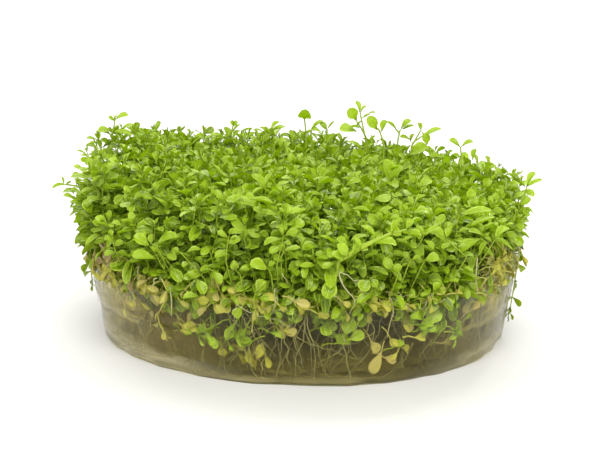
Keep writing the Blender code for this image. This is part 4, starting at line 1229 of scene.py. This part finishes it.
# leaves sunk in the gel and old leaves at its rim: angle from the front, height in mm, depth inside the wall in mm,
# size, form, lean of the tip in degrees from up, tint
sunkenGreen = (
    (-31.8, 8.6, 1.2, 1.1, 5, 100, 0.9), (-26.9, 9.6, 1.8, 1.1, 2, -40, 0.5),
    (-25.2, 7.2, 1.5, 1, 2, 110, 0.35), (-19.8, 9, 2, 1.1, 0, 30, 0.45), (-16.8, 8.4, 1.6, 1, 2, 130, 0.5),
    (-14.7, 8.4, 1.4, 1, 5, 80, 0.6), (-6.1, 12.9, 1.4, 0.7, 0, 20, 0.7), (-2.6, 13, 1.6, 0.9, 0, 60, 0.4),
    (-6.6, 10.3, 1.2, 1, 2, 100, 0.8), (6.6, 11.2, 2.4, 1.2, 5, 180, 0.55), (12.2, 11.8, 2, 1.4, 0, 10, 0.5),
    (14.8, 9.9, 1.6, 1.35, 0, 70, 0.75), (20, 15.2, 0.6, 1.3, 1, 90, 0.95), (26.9, 7.6, 1.6, 1.1, 2, 60, 0.6),
    (36.7, 12.2, 0.8, 1.4, 0, 50, 0.95), (41, 9.5, 2.4, 1.2, 0, 20, 0.5), (47.2, 9.4, 1, 1.3, 1, 130, 0.85),
    (50.5, 10.6, 1.2, 1, 2, 60, 0.6), (-50.7, 12.4, 0.6, 1.2, 2, 160, 0.9), (30, 14, 1.5, 1.1, 2, 110, 0.4),
    (-12, 13.4, 1.5, 1, 2, 200, 0.55),
)
sunkenOld = (
    (-31.2, 11.2, 1.8, 0.9, 2, 20, 0.4), (-42.8, 10.4, 0.8, 0.8, 5, 40, 0.3),
    (-2.5, 10.7, 1.4, 0.9, 5, 70, 0.4), (-0.3, 14.6, 1, 0.8, 2, 20, 0.5), (21.4, 4.4, 2.4, 1.5, 0, 200, 0.4),
    (20.2, 7.4, 2.4, 1.2, 0, 150, 0.45), (25, 4.6, 2, 0.9, 0, 110, 0.2), (33, 8.6, 0.8, 1, 0, 95, 0.95),
    (-41.4, 13.6, 0.8, 1.2, 0, 200, 0.45), (57, 12.5, 2, 1.6, 1, 20, 0.6), (45, 6, 3, 1.1, 2, 90, 0.2),
)
rimOld = (
    (-0.1, 17.4, -2.2, 1.2, 0, 100, 0.42), (-50.3, 20.6, -2, 1.4, 3, 120, 0.85),
    (-52.5, 19.2, -1.6, 1.3, 3, 130, 0.8), (-48.5, 16.2, -0.8, 1, 5, 160, 0), (-25.3, 15.9, -0.8, 1, 0, 90, 1),
    (21.6, 16.2, -0.9, 1.15, 1, 100, 1),
)
# clusters of them: angle from the front, height in mm, their spreads, count, depth inside the wall in mm, size, tint,
# aged or green
oldClusters = (
    (-60.8, 18.6, 5.2, 1.6, 9, (-1.8, -0.4), (0.65, 1), (-0.1, 0.35), True),
    (-58, 17.2, 6, 2.2, 26, (-1.6, 0.2), (0.65, 1), (0.55, 1.15), True),
    (-68, 17, 4, 2.4, 9, (-1.4, 0.2), (0.7, 1.1), (0.2, 0.8), True),
    (-60.1, 13.1, 3.7, 2.2, 6, (-0.4, 0.6), (0.7, 1), (0.6, 1), True),
    (-48.9, 12.9, 4.8, 2.3, 8, (-0.3, 1), (0.7, 1.05), (0.5, 0.95), True),
    (-44, 16.2, 3.9, 1.5, 6, (-1.2, 0), (0.8, 1.1), (0.3, 0.8), True),
    (-25.6, 15.6, 2.3, 1, 4, (-0.8, 0.2), (0.7, 0.95), (0.8, 1.1), True),
    (-19.4, 16.7, 3.5, 2.9, 13, (-1.2, 0.6), (0.8, 1.1), (0.35, 0.85), True),
    (-31.2, 9.5, 2.5, 1.5, 6, (0.6, 1.6), (0.7, 1), (0.7, 1.1), True),
    (-26.3, 8.1, 2.7, 1.8, 8, (0.8, 2.4), (0.55, 0.85), (0.8, 1.15), False),
    (-16.8, 9, 3.5, 2.1, 12, (1, 2.8), (0.55, 0.8), (0.5, 0.9), False),
    (-16.4, 4.6, 4.9, 1.6, 9, (4, 7), (0.8, 1.1), (0.6, 0.95), True),
    (-11.7, 16.5, 2.6, 1, 5, (-0.8, 0.4), (0.65, 0.9), (0.8, 1.1), True),
    (-4.8, 11.3, 2.6, 1.8, 9, (1.6, 3.6), (0.6, 0.9), (0.7, 1), True),
    (7.2, 11.4, 2.6, 1.5, 4, (2.5, 4.5), (0.9, 1.2), (0.3, 0.5), False),
    (13, 10.2, 3.2, 2.5, 6, (2, 3.6), (0.9, 1.3), (0.35, 0.6), False),
    (21.1, 15.4, 3, 1, 5, (-0.6, 0.6), (0.7, 1), (0.8, 1.1), True),
    (26.7, 6.1, 2.6, 2.4, 6, (0.8, 2.2), (0.6, 0.9), (0.7, 1), True),
    (29.3, 11.9, 2.7, 1.5, 4, (2, 4), (0.8, 1.1), (0.5, 0.75), True),
    (35.4, 11, 3.7, 1.8, 6, (0.4, 1.4), (0.8, 1.15), (0.6, 0.9), False),
    (39.8, 11.3, 2.9, 1.6, 4, (0.6, 1.6), (0.7, 1), (0.35, 0.6), False),
    (47.3, 7.7, 2.9, 1.6, 5, (0.6, 1.4), (0.7, 1.05), (0.7, 0.95), False),
    (51.1, 13.1, 4.2, 2, 4, (0.6, 2), (0.9, 1.2), (0.1, 0.45), True),
    (59.4, 20, 4.2, 2.6, 24, (-1.8, -0.1), (0.6, 0.9), (0.5, 1.2), True),
    (66, 18.5, 4, 2.2, 10, (-1.6, -0.1), (0.6, 0.9), (0.3, 1), True),
    # all round the rim, where the fresh leaves end and the gel begins
    (0, 16.2, 100, 1.6, 110, (-1.6, 1), (0.7, 1.05), (0.45, 1.05), True),
    (0, 15.9, 100, 2, 100, (-1.2, 2.2), (0.65, 1), (0.2, 0.7), False),
    (0, 12.6, 100, 1.8, 60, (2.5, 6.5), (0.6, 0.9), (0.45, 0.85), False),
    (180, 15.5, 80, 2.2, 60, (-1.2, 1.6), (0.65, 1), (0.4, 1.05), True),
    (180, 15.2, 80, 2.4, 70, (-1, 2.4), (0.65, 1), (0.2, 0.7), False),
)
sunken = {
    "length": 0.0027,
    "forms": (0, 1, 2, 2, 3, 5, 6, 7),
    "lean": (150, 60),
    "wideFrom": 20.0,  # a cluster wider than this is spread evenly
    "angleShare": 0.55,
    "heightShare": 0.6,
    "lowest": 1.5,
    "tipOut": (-0.15, 0.25),
    "faceUp": 0.4,
    "faceSpread": 0.25,
    "stem": (0.00014, 0.00013, 0.00012),
    "clusterSeed": 7,
}


def clusterSpots(aged):
    rng = random.Random(sunken["clusterSeed"])
    for angle, height, angleSpread, heightSpread, count, depths, sizes, tints, old in oldClusters:
        for i in range(count):
            aside = rng.uniform(-1, 1) if angleSpread > sunken["wideFrom"] else rng.gauss(0, sunken["angleShare"])
            level = height + rng.gauss(0, sunken["heightShare"]) * heightSpread
            spot = (angle + aside * angleSpread, max(sunken["lowest"], level), rng.uniform(*depths),
                    rng.uniform(*sizes), rng.choice(sunken["forms"]), rng.gauss(*sunken["lean"]), rng.uniform(*tints))
            if old == aged:
                yield spot


def leafSet(name, spots, finish, seed):
    rng = random.Random(seed)
    store = LeafStore()
    for angle, height, depth, size, form, lean, tint in spots:
        turn, tilt = math.radians(angle), math.radians(lean)
        outward = Vector((math.sin(turn), -math.cos(turn), 0))
        sideways = Vector((math.cos(turn), math.sin(turn), 0))
        blade = sunken["length"] * size
        along = Vector((0, 0, 1)) * math.cos(tilt) + sideways * math.sin(tilt)
        along = (along + outward * rng.uniform(*sunken["tipOut"])).normalized()
        face = outward + Vector((0, 0, sunken["faceUp"])) + sideways * rng.gauss(0, sunken["faceSpread"])
        place = wallPlace(angle, height / 1000, gelWall(height / 1000) - depth / 1000) - along * blade * 0.5
        store.leaf(place, along, face.normalized(), blade, form, tint)
        back = place - along * 0.0022 - outward * 0.0012
        middle = place.lerp(back, 0.5) + Vector((0, 0, 0.0003))
        store.stems.append([(point, width, tint) for point, width in zip((back, middle, place), sunken["stem"])])
    finishPiece(store.piece(name, seed, finish), "leaf")


leafSet("sunken_green_leaves", sunkenGreen + tuple(clusterSpots(False)), leafTissue, 101)
leafSet("sunken_old_leaves", sunkenOld, agedTissue, 102)
leafSet("rim_old_leaves", rimOld + tuple(clusterSpots(True)), agedTissue, 103)
print("old leaves made")


# roots: a tuft under each planting spot, single roots against the wall, and roots that hang at the rim
rootLooks = {
    "tuftRadius": 0.0039,
    "tuftDepth": 0.0128,
    "tuftDepthSpread": (0.55, 1.08),
    "tuftDrift": (0.002, 0.008),
    "tuftStrands": 12,
    "tuftThick": (0.00006, 0.00012),
    "tuftTint": (0.0, 0.5),
    "tipThick": 0.6,  # the share of its thickness that a root loses towards the tip
    "lowest": 0.0009,
    "insideWall": 0.0012,
    "wander": 0.00022,
    "markedWander": 0.00010,
    "wallThick": 0.56,
    "wallTint": -0.15,
    "rimThick": 0.75,
    "rimUnder": (15.5, 0.55),  # below this height in mm a rim root lies closer to the wall, by this share
    "sides": 5,
    "seed": 71,
}
tuftSeats = seatsOf("root_tuft")
# (angle from the front, height in mm) from top to tip, thickness in mm, tint, depth inside the wall in mm
wallRoots = (
    (((-16.4, 14.8), (-13.8, 11.1), (-11.3, 8.5), (-8.5, 4.4)), 0.17, 0.55, 0.8),
    (((-15.1, 14.6), (-10.2, 8.9), (-6.5, 5.8)), 0.14, 0.5, 1),
    (((-11.5, 15), (-10.8, 12.4), (-9.6, 10.9)), 0.16, 0.7, 0.6),
    (((-4.8, 13.3), (-5, 9), (-5.6, 4.9), (-6.6, 1.5)), 0.17, 0.6, 0.7),
    (((-3, 7.6), (-5.9, 3.3), (-6.3, 1.3)), 0.13, 0.5, 0.9),
    (((0.9, 14), (0.7, 11.8), (0.5, 9.1), (-1.5, 5.8), (-1, 1.3)), 0.17, 0.65, 0.7),
    (((0.9, 14), (1, 11.1), (2.6, 8.2), (3.1, 2)), 0.15, 0.6, 0.7),
    (((1.2, 14.2), (1.9, 11.3), (3.6, 7.3), (3.8, 1.2)), 0.19, 0.7, 0.6),
    (((0.6, 13.2), (-0.5, 11.3), (-1.9, 9.5)), 0.13, 0.55, 0.8),
    (((0.4, 12.6), (-1.6, 9.9), (-3, 7.6)), 0.12, 0.5, 1),
    (((8, 12.4), (8, 9.8), (7.4, 6.2), (5.7, 2.7)), 0.14, 0.5, 0.9),
    (((9.9, 12.6), (9.9, 10.4), (10.5, 6.2)), 0.13, 0.45, 1),
    (((15.9, 14.8), (15.5, 13.8), (13.5, 10.5), (13, 7.5), (15.2, 5.4), (17.4, 4.1)), 0.15, 0.6, 0.8),
    (((17.9, 15.4), (17.4, 11.9), (16.6, 10.2)), 0.18, 0.75, 0.4),
    (((17.6, 12.9), (18.8, 11.3), (19.1, 9.2), (17.9, 6.6), (14.8, 4), (11.7, 1.5)), 0.17, 0.6, 0.7),
    (((12.9, 7.3), (12.4, 6.6), (9.8, 4.4), (7.8, 2.9)), 0.12, 0.5, 0.9),
    (((23.3, 14.4), (24.5, 11.6), (26.9, 8.4)), 0.12, 0.45, 0.9), (((-32.6, 13), (-35.2, 9.2)), 0.13, 0.7, 0.5),
    (((-27.7, 15), (-28.4, 12.6), (-29.4, 10.6)), 0.14, 0.75, 0.4),
    (((-47.5, 12), (-47.7, 7.5)), 0.14, 0.6, 0.6), (((38.5, 8), (38, 5.6), (40, 4.4)), 0.13, 0.55, 0.9),
    (((38.8, 8.6), (34, 5), (33.5, 2.4)), 0.12, 0.5, 0.9), (((46, 7.8), (42, 5.4), (39, 3.8)), 0.12, 0.45, 1),
    (((31, 7.6), (29, 4.6), (27, 2.6)), 0.12, 0.5, 0.9), (((34.5, 5.6), (36.5, 3.6), (37, 1.8)), 0.12, 0.5, 1),
    (((-30, 6), (-30.4, 3.4), (-31.4, 1.4)), 0.13, 0.45, 1), (((-27, 5.4), (-27.4, 2)), 0.13, 0.45, 1),
    (((-21, 6.2), (-20.6, 3.4), (-20.2, 1.2)), 0.15, 0.55, 0.7),
    (((-24, 12), (-22.8, 8.2), (-21.2, 5.4)), 0.12, 0.45, 1.2),
)
# these hang outside, in front of the leaves, and their last number is the reach beyond the wall in mm
rimRoots = (
    (((8.2, 23.8), (9.4, 21), (12.3, 18.1), (11.5, 15.2)), 0.22, 0.95, 3.2),
    (((8.4, 23.6), (10.3, 22.9), (12.8, 21.8), (15.7, 22.1)), 0.18, 0.95, 3.3),
    (((9, 22.2), (9.6, 20.4)), 0.13, 0.9, 3.2), (((11.9, 17.6), (13, 18.6)), 0.11, 0.9, 3.2),
    (((-4.9, 23.2), (-3.4, 21.1)), 0.16, 0.9, 3), (((-6.6, 19.9), (-6.5, 17), (-7, 15)), 0.17, 0.85, 2),
    (((-5.9, 17.6), (-7, 15.6), (-8.5, 13.7)), 0.14, 0.85, 0.8),
    (((-6.8, 16.6), (-10.9, 14.8)), 0.14, 0.85, 0.9),
    (((-34.9, 17.4), (-34.7, 14.6), (-34.9, 11.7)), 0.24, 0.95, 0.8),
    (((-38.4, 18.8), (-39.6, 17.2), (-40.4, 15.8)), 0.18, 0.95, 1.6),
    (((-44.4, 20.2), (-44.8, 17.6), (-42.9, 15.4), (-40.4, 14.2)), 0.14, 0.8, 1.6),
    (((-30.5, 16.4), (-31.6, 13.8)), 0.14, 0.8, 0.8),
    (((21.8, 18.2), (23.2, 15.6), (22.6, 12.4), (21.9, 9.7)), 0.2, 0.9, 0.6),
    (((47.3, 23.1), (47, 19.6), (47.7, 16.1)), 0.22, 0.95, 2.2), (((46.6, 24), (47.8, 21)), 0.14, 0.9, 2.2),
    (((66, 22.4), (68, 18.6), (69, 14.4), (68, 10.6)), 0.14, 0.8, 0.9),
    (((64, 23), (65.4, 19.4), (66, 15)), 0.13, 0.8, 0.9),
)
# fine roots against the gel's wall: count, angles from the front in degrees, heights of the upper end in mm,
# length in mm, depth inside the wall in mm, thickness in mm, tint, slant in degrees
wallFields = (
    (180, (-180, 180), (3, 13.5), (4, 10), (3.5, 13), (0.05, 0.09), (0, 0.5), 9),
    (160, (-180, 180), (1.4, 4.2), (1, 3), (3, 15), (0.05, 0.1), (0, 0.4), 20),
    (50, (-180, 180), (9, 15.2), (5, 12), (0.8, 5), (0.06, 0.11), (0.1, 0.6), 5),
    (25, (-45, 50), (8, 15.2), (5, 13), (0.8, 3), (0.06, 0.11), (0.3, 0.8), 6),
    (30, (-92, -52), (9, 15.3), (2, 7), (0.15, 1.2), (0.03, 0.06), (0.6, 1), 3),
    (16, (-75, -40), (6, 14), (3, 9), (0.3, 2.5), (0.05, 0.09), (0.5, 1), 5),
    (70, (50, 82), (8, 15.4), (4, 12), (0.15, 2.2), (0.03, 0.07), (0.6, 1), 5),
    (40, (150, 210), (9, 15.3), (3, 9), (0.2, 1.2), (0.05, 0.09), (0.7, 1.1), 4),
)
# pale roots outside the wall, from the leaves down, with the reach beyond the wall instead of the depth
outerFields = (
    (34, (56, 76), (15.5, 23), (4, 9), (0.3, 1.6), (0.04, 0.08), (0.6, 1.1), 4),
    (12, (-72, -50), (15.5, 21), (3, 6), (0.2, 1.2), (0.04, 0.07), (0.4, 0.8), 4),
    (14, (-45, 50), (16, 19), (2, 5), (0.3, 1.4), (0.05, 0.09), (0.7, 1.1), 5),
    (16, (100, 260), (16, 20), (3, 7), (0.3, 1.4), (0.05, 0.09), (0.6, 1.1), 5),
)


def wander(points, rng, amount, steps=3):
    # a smooth line through the points, with a little wander between them
    line = []
    for i in range(len(points) - 1):
        before = points[max(0, i - 1)]
        a, b = points[i], points[i + 1]
        after = points[min(len(points) - 1, i + 2)]
        for k in range(steps):
            t = k / steps
            point = 0.5 * ((2 * a) + (b - before) * t + (2 * before - 5 * a + 4 * b - after) * t * t
                           + (3 * a - before - 3 * b + after) * t ** 3)
            if i or k:
                point = point + Vector((rng.gauss(0, amount), rng.gauss(0, amount), rng.gauss(0, amount)))
            line.append(point)
    line.append(points[-1])
    return line


def markedRoots(add):
    amount = rootLooks["markedWander"]
    for marks, thick, tint, depth in wallRoots:
        points = [wallPlace(a, h / 1000, gelWall(h / 1000) - depth / 1000) for a, h in marks]
        add(points, thick / 1000 * rootLooks["wallThick"], tint + rootLooks["wallTint"], amount)
    under, share = rootLooks["rimUnder"]
    for marks, thick, tint, proud in rimRoots:
        points = [wallPlace(a, h / 1000, gelWall(gelShape["height"]) + proud / 1000 * (share if h < under else 1.0))
                  for a, h in marks]
        add(points, thick / 1000 * rootLooks["rimThick"], tint, amount)


def tuftRoots(add, rng):
    for name, x, y in tuftSeats:
        for k in range(rootLooks["tuftStrands"]):
            around, out = rng.uniform(0, tau), rootLooks["tuftRadius"] * math.sqrt(rng.random())
            level = gelShape["height"] - 0.0004
            top = Vector((x + out * math.cos(around), y + out * math.sin(around), level))
            depth = rootLooks["tuftDepth"] * rng.uniform(*rootLooks["tuftDepthSpread"])
            drift = Vector((math.cos(around), math.sin(around), 0)) * rng.uniform(*rootLooks["tuftDrift"])
            low = top + drift - Vector((0, 0, depth))
            low.z = max(low.z, rootLooks["lowest"])
            mid = top.lerp(low, 0.5) + loose(rng, 0.001)
            for point in (low, mid):
                limit = gelWall(point.z) - rootLooks["insideWall"]
                if point.xy.length > limit:
                    point.xy *= limit / point.xy.length
            add([top, mid, low], rng.uniform(*rootLooks["tuftThick"]), rng.uniform(*rootLooks["tuftTint"]))


def fineRoots(add, rng):
    for fields, proud in ((wallFields, -1.0), (outerFields, 1.0)):
        for count, angles, heights, lengths, depths, widths, tints, slant in fields:
            for i in range(count):
                angle, height = rng.uniform(*angles), rng.uniform(*heights) / 1000
                long, depth = rng.uniform(*lengths) / 1000, proud * rng.uniform(*depths) / 1000
                drift, marks = rng.gauss(0, slant), []
                for k in range(4):
                    h = max(0.0008, height - long * k / 3)
                    reach = gelWall(h) + (depth if proud < 0 else depth * (1.0 - 0.22 * k))
                    marks.append(wallPlace(angle + drift * k / 3 + rng.gauss(0, 0.5), h, reach))
                add(marks, rng.uniform(*widths) / 1000, rng.uniform(*tints))


def makeRoots():
    rng = random.Random(rootLooks["seed"])
    lines = {seat[0]: [] for seat in tuftSeats}

    def add(points, thick, tint, amount=rootLooks["wander"]):
        path = wander(points, rng, amount)
        thin = rootLooks["tipThick"]
        lines[nearest(tuftSeats, points[0].x, points[0].y)].append([
            (p, thick * (1.0 - thin * i / (len(path) - 1)), tint) for i, p in enumerate(path)])

    markedRoots(add)
    tuftRoots(add, rng)
    fineRoots(add, rng)
    for name, strands in lines.items():
        piece = grown(name.replace("root_tuft", "roots"), lineObject(name + "Lines", strands), rootTree, {
            "Sides": rootLooks["sides"], "Finish": rootTissue})
        finishPiece(piece, "root", name)
    print("roots:", sum(len(strands) for strands in lines.values()), "strands")


def ringFaces(rings, sides):
    # the faces between rings of points, from the lowest ring up
    starts = [(j * sides + i, j * sides + (i + 1) % sides) for j in range(rings - 1) for i in range(sides)]
    return [(a, b, b + sides, a + sides) for a, b in starts]


def meshObject(name, verts, faces, finish):
    mesh = bpy.data.meshes.new(name)
    mesh.from_pydata(verts, [], faces)
    mesh.materials.append(finish)
    return newObject(name, mesh)


# the dark felt of old roots and stems, in the gel and just above it
felt = {
    "profile": ((0.0001, 0.0262), (0.0006, 0.0254), (0.0016, 0.0244), (0.0030, 0.0236), (0.0065, 0.0228),
                (0.0095, 0.0250), (0.0120, 0.0290), (0.0138, 0.0340), (0.0150, 0.0378), (0.0158, 0.0392),
                (0.0172, 0.0386), (0.0184, 0.0340), (0.0188, 0.0200)),
    "sides": 120,
    "lumps": 0.0013,
    "footLumps": 1.6,
    "heightLumps": 0.0004,
    "lowest": 0.0001,
}


def makeFelt():
    verts, sides = [], felt["sides"]
    for z, radius in felt["profile"]:
        for i in range(sides):
            angle = tau * i / sides
            outward = Vector((math.cos(angle), math.sin(angle), 0))
            spot = outward * radius * 160 + Vector((0, 0, z * 90))
            lumps = felt["lumps"] * (1.0 + felt["footLumps"] * smooth(1.0 - z / 0.0015))
            r = radius + lumps * (noise.noise(spot * (0.5 if z < 0.001 else 1.0)) + 0.5 * noise.noise(spot * 2.7))
            level = max(felt["lowest"], z + felt["heightLumps"] * noise.noise(spot * 1.7))
            verts.append((outward.x * r, outward.y * r, level))
    faces = ringFaces(len(felt["profile"]), sides)
    last = len(verts) - sides
    faces += [tuple(range(sides - 1, -1, -1)), tuple(range(last, last + sides))]
    piece = meshObject("root_felt", verts, faces, rootFelt)
    for polygon in piece.data.polygons:
        polygon.use_smooth = len(polygon.vertices) == 4
    finishPiece(piece, "old_root", "root_mat")


makeRoots()
makeFelt()
print("felt made")


def makeGel():
    foot, count, sides = gelShape["footLevels"], gelShape["wallSteps"], gelShape["sides"]
    levels = foot + tuple(foot[-1] + gelShape["wallRise"] * i / count for i in range(1, count + 1))
    rings = (gelShape["base"],) + tuple((z, gelWall(z)) for z in levels) + gelShape["top"]
    verts, (slow, quick) = [], gelShape["waves"]
    for z, radius in rings:
        for i in range(sides):
            angle = tau * i / sides
            wave = slow * math.sin(5 * angle + 0.8) + quick * math.sin(9 * angle + 260 * z)
            spot = Vector((math.cos(angle), math.sin(angle), z * 60)) * 7
            wave += (gelShape["footBumps"] * noise.noise(spot) * smooth(1.3 - z / 0.0016)
                     + gelShape["bumps"] * noise.noise(spot * 2.5))
            level = gelShape["ledgeHeight"] + gelShape["ledgeWave"] * math.sin(3 * angle + 0.4)
            share = 0.35 + 0.65 * smooth(-math.cos(angle) * 0.5 + 0.35)
            step = gelShape["ledge"] * share * (smooth((z - level) / 0.0009) - 0.5)
            r = radius + (wave + step if radius > 0.035 else 0.0)
            verts.append((r * math.cos(angle), r * math.sin(angle), z))
    faces = ringFaces(len(rings), sides)
    verts += [(0, 0, rings[0][0]), (0, 0, rings[-1][0])]
    low, high, last = len(verts) - 2, len(verts) - 1, (len(rings) - 1) * sides
    for i in range(sides):
        faces += [(low, (i + 1) % sides, i), (high, last + i, last + (i + 1) % sides)]
    piece = meshObject("gel_disc", verts, faces, cultureGel)
    for polygon in piece.data.polygons:
        polygon.use_smooth = True
    finishPiece(piece, "culture_gel", "gel_medium")


makeGel()
for form in list(formCollection.objects):
    bpy.data.objects.remove(form)
bpy.data.collections.remove(formCollection)
print("gel made")


# floor, light and camera
studio = {
    "floor": colour(0.755, 0.740, 0.708),
    # under the gel the floor is painted: the dark shade colour under its middle is painted shade, and the paler
    # colour and glow under its left and right sides are painted light
    "shade": colour(0.335, 0.305, 0.190),
    "paleShade": colour(0.96, 0.86, 0.68),
    "unlit": colour(0.0, 0.0, 0.0),
    "floorLight": colour(1.0, 0.995, 0.975),
    "floorGlow": 0.25,
    "openGlow": 0.28,
    "paintedSideLight": 1.90,
    "floorLevel": -0.00005,
    "edge": (0.0374, 0.0392),  # the distances from the middle between which the open floor begins
    "ring": (0.0300, 0.0365, 1.0, 0.10),  # and where the painted light under the gel ends
    "leftSide": (-0.035, -0.008, 1.0, 0.0),
    "rightSide": (0.018, 0.042),
    "sky": (-0.80, 0.15, 0.32, 0.68),  # from the front to the back, its strength there
    # name, place, width and depth, power
    "lamps": (("backLight", (-0.10, 0.55, 0.75), (0.9, 0.6), 6.0),
              ("frontLight", (0.06, -0.74, 0.70), (0.9, 0.5), 11.0),
              ("glintLight", (0.25, 0.40, 0.60), (0.04, 0.04), 0.6)),
    "lampAim": (0, 0, 0.02),
    "cameraDistance": 0.50,
    "cameraElevation": 16.0,
    "aimPitch": 13.63,
    "aimYaw": 0.10,
    "roll": 1.38,
    "lens": 148.46,
    "sensor": 36.0,
}


def makeFloor():
    made, web = newMaterial("paleFloor")
    place = web.place()
    across = web.wire("ShaderNodeVectorMath", {"operation": "LENGTH"}, {
        0: web.stretched(place, (1.0, 1.0, 0.0))}, out="Value")
    aside = web.axis(place, "X")
    outside = web.ramp(across, *studio["edge"])
    sides = web.ramp(aside, *studio["leftSide"]) + web.ramp(aside, *studio["rightSide"])
    ring = web.ramp(across, *studio["ring"])
    # the open floor glows evenly; the glow under the gel's left and right sides is painted light
    lit = outside * studio["openGlow"] + sides * (1.0 - outside) * ring * studio["paintedSideLight"]
    web.output(web.principled({
        "Base Color": web.layers(studio, "shade", (sides * ring, "paleShade"), (outside, "floor")),
        "Roughness": 0.7, "Specular IOR Level": 0.2, "Emission Strength": studio["floorGlow"],
        "Emission Color": web.layers(studio, "unlit", (lit, "floorLight"))}))
    corners = [(x, y, studio["floorLevel"]) for x, y in ((-4, -3), (4, -3), (4, 5), (-4, 5))]
    meshObject("studioFloor", corners, [(0, 1, 2, 3)], made)


def makeSky():
    world = bpy.data.worlds.new("studioSky")
    world.use_nodes = True
    world.node_tree.nodes.clear()
    web = Web(world.node_tree)
    away = web.axis(web.wire("ShaderNodeTexCoord", out="Generated"), "Y")
    sky = web.wire("ShaderNodeBackground", {}, {
        "Color": colour(1.0, 1.0, 1.0), "Strength": web.ramp(away, *studio["sky"])})
    web.node("ShaderNodeOutputWorld", {}, {"Surface": sky})
    scene.world = world


def makeLamp(name, place, size, power):
    lamp = bpy.data.lights.new(name, "AREA")
    lamp.shape, lamp.size, lamp.size_y, lamp.energy = "RECTANGLE", size[0], size[1], power
    made = newObject(name, lamp)
    made.location = place
    made.rotation_euler = (Vector(studio["lampAim"]) - Vector(place)).to_track_quat("-Z", "Y").to_euler()


def turned(degrees, axis):
    return Matrix.Rotation(math.radians(degrees), 4, axis)


def makeCamera():
    camera = bpy.data.cameras.new("studioCamera")
    camera.lens, camera.sensor_width = studio["lens"], studio["sensor"]
    camera.clip_start, camera.clip_end = 0.01, 50.0
    holder = newObject("studioCamera", camera)
    rise, away = math.radians(studio["cameraElevation"]), studio["cameraDistance"]
    holder.location = (0.0, -away * math.cos(rise), away * math.sin(rise))
    aim = turned(studio["aimYaw"], "Z") @ turned(90.0 - studio["aimPitch"], "X")
    holder.rotation_euler = (aim @ turned(studio["roll"], "Z")).to_euler()
    scene.camera = holder
    scene.view_settings.view_transform = "Standard"


makeFloor()
makeSky()
for lamp in studio["lamps"]:
    makeLamp(*lamp)
makeCamera()
print("studio set")
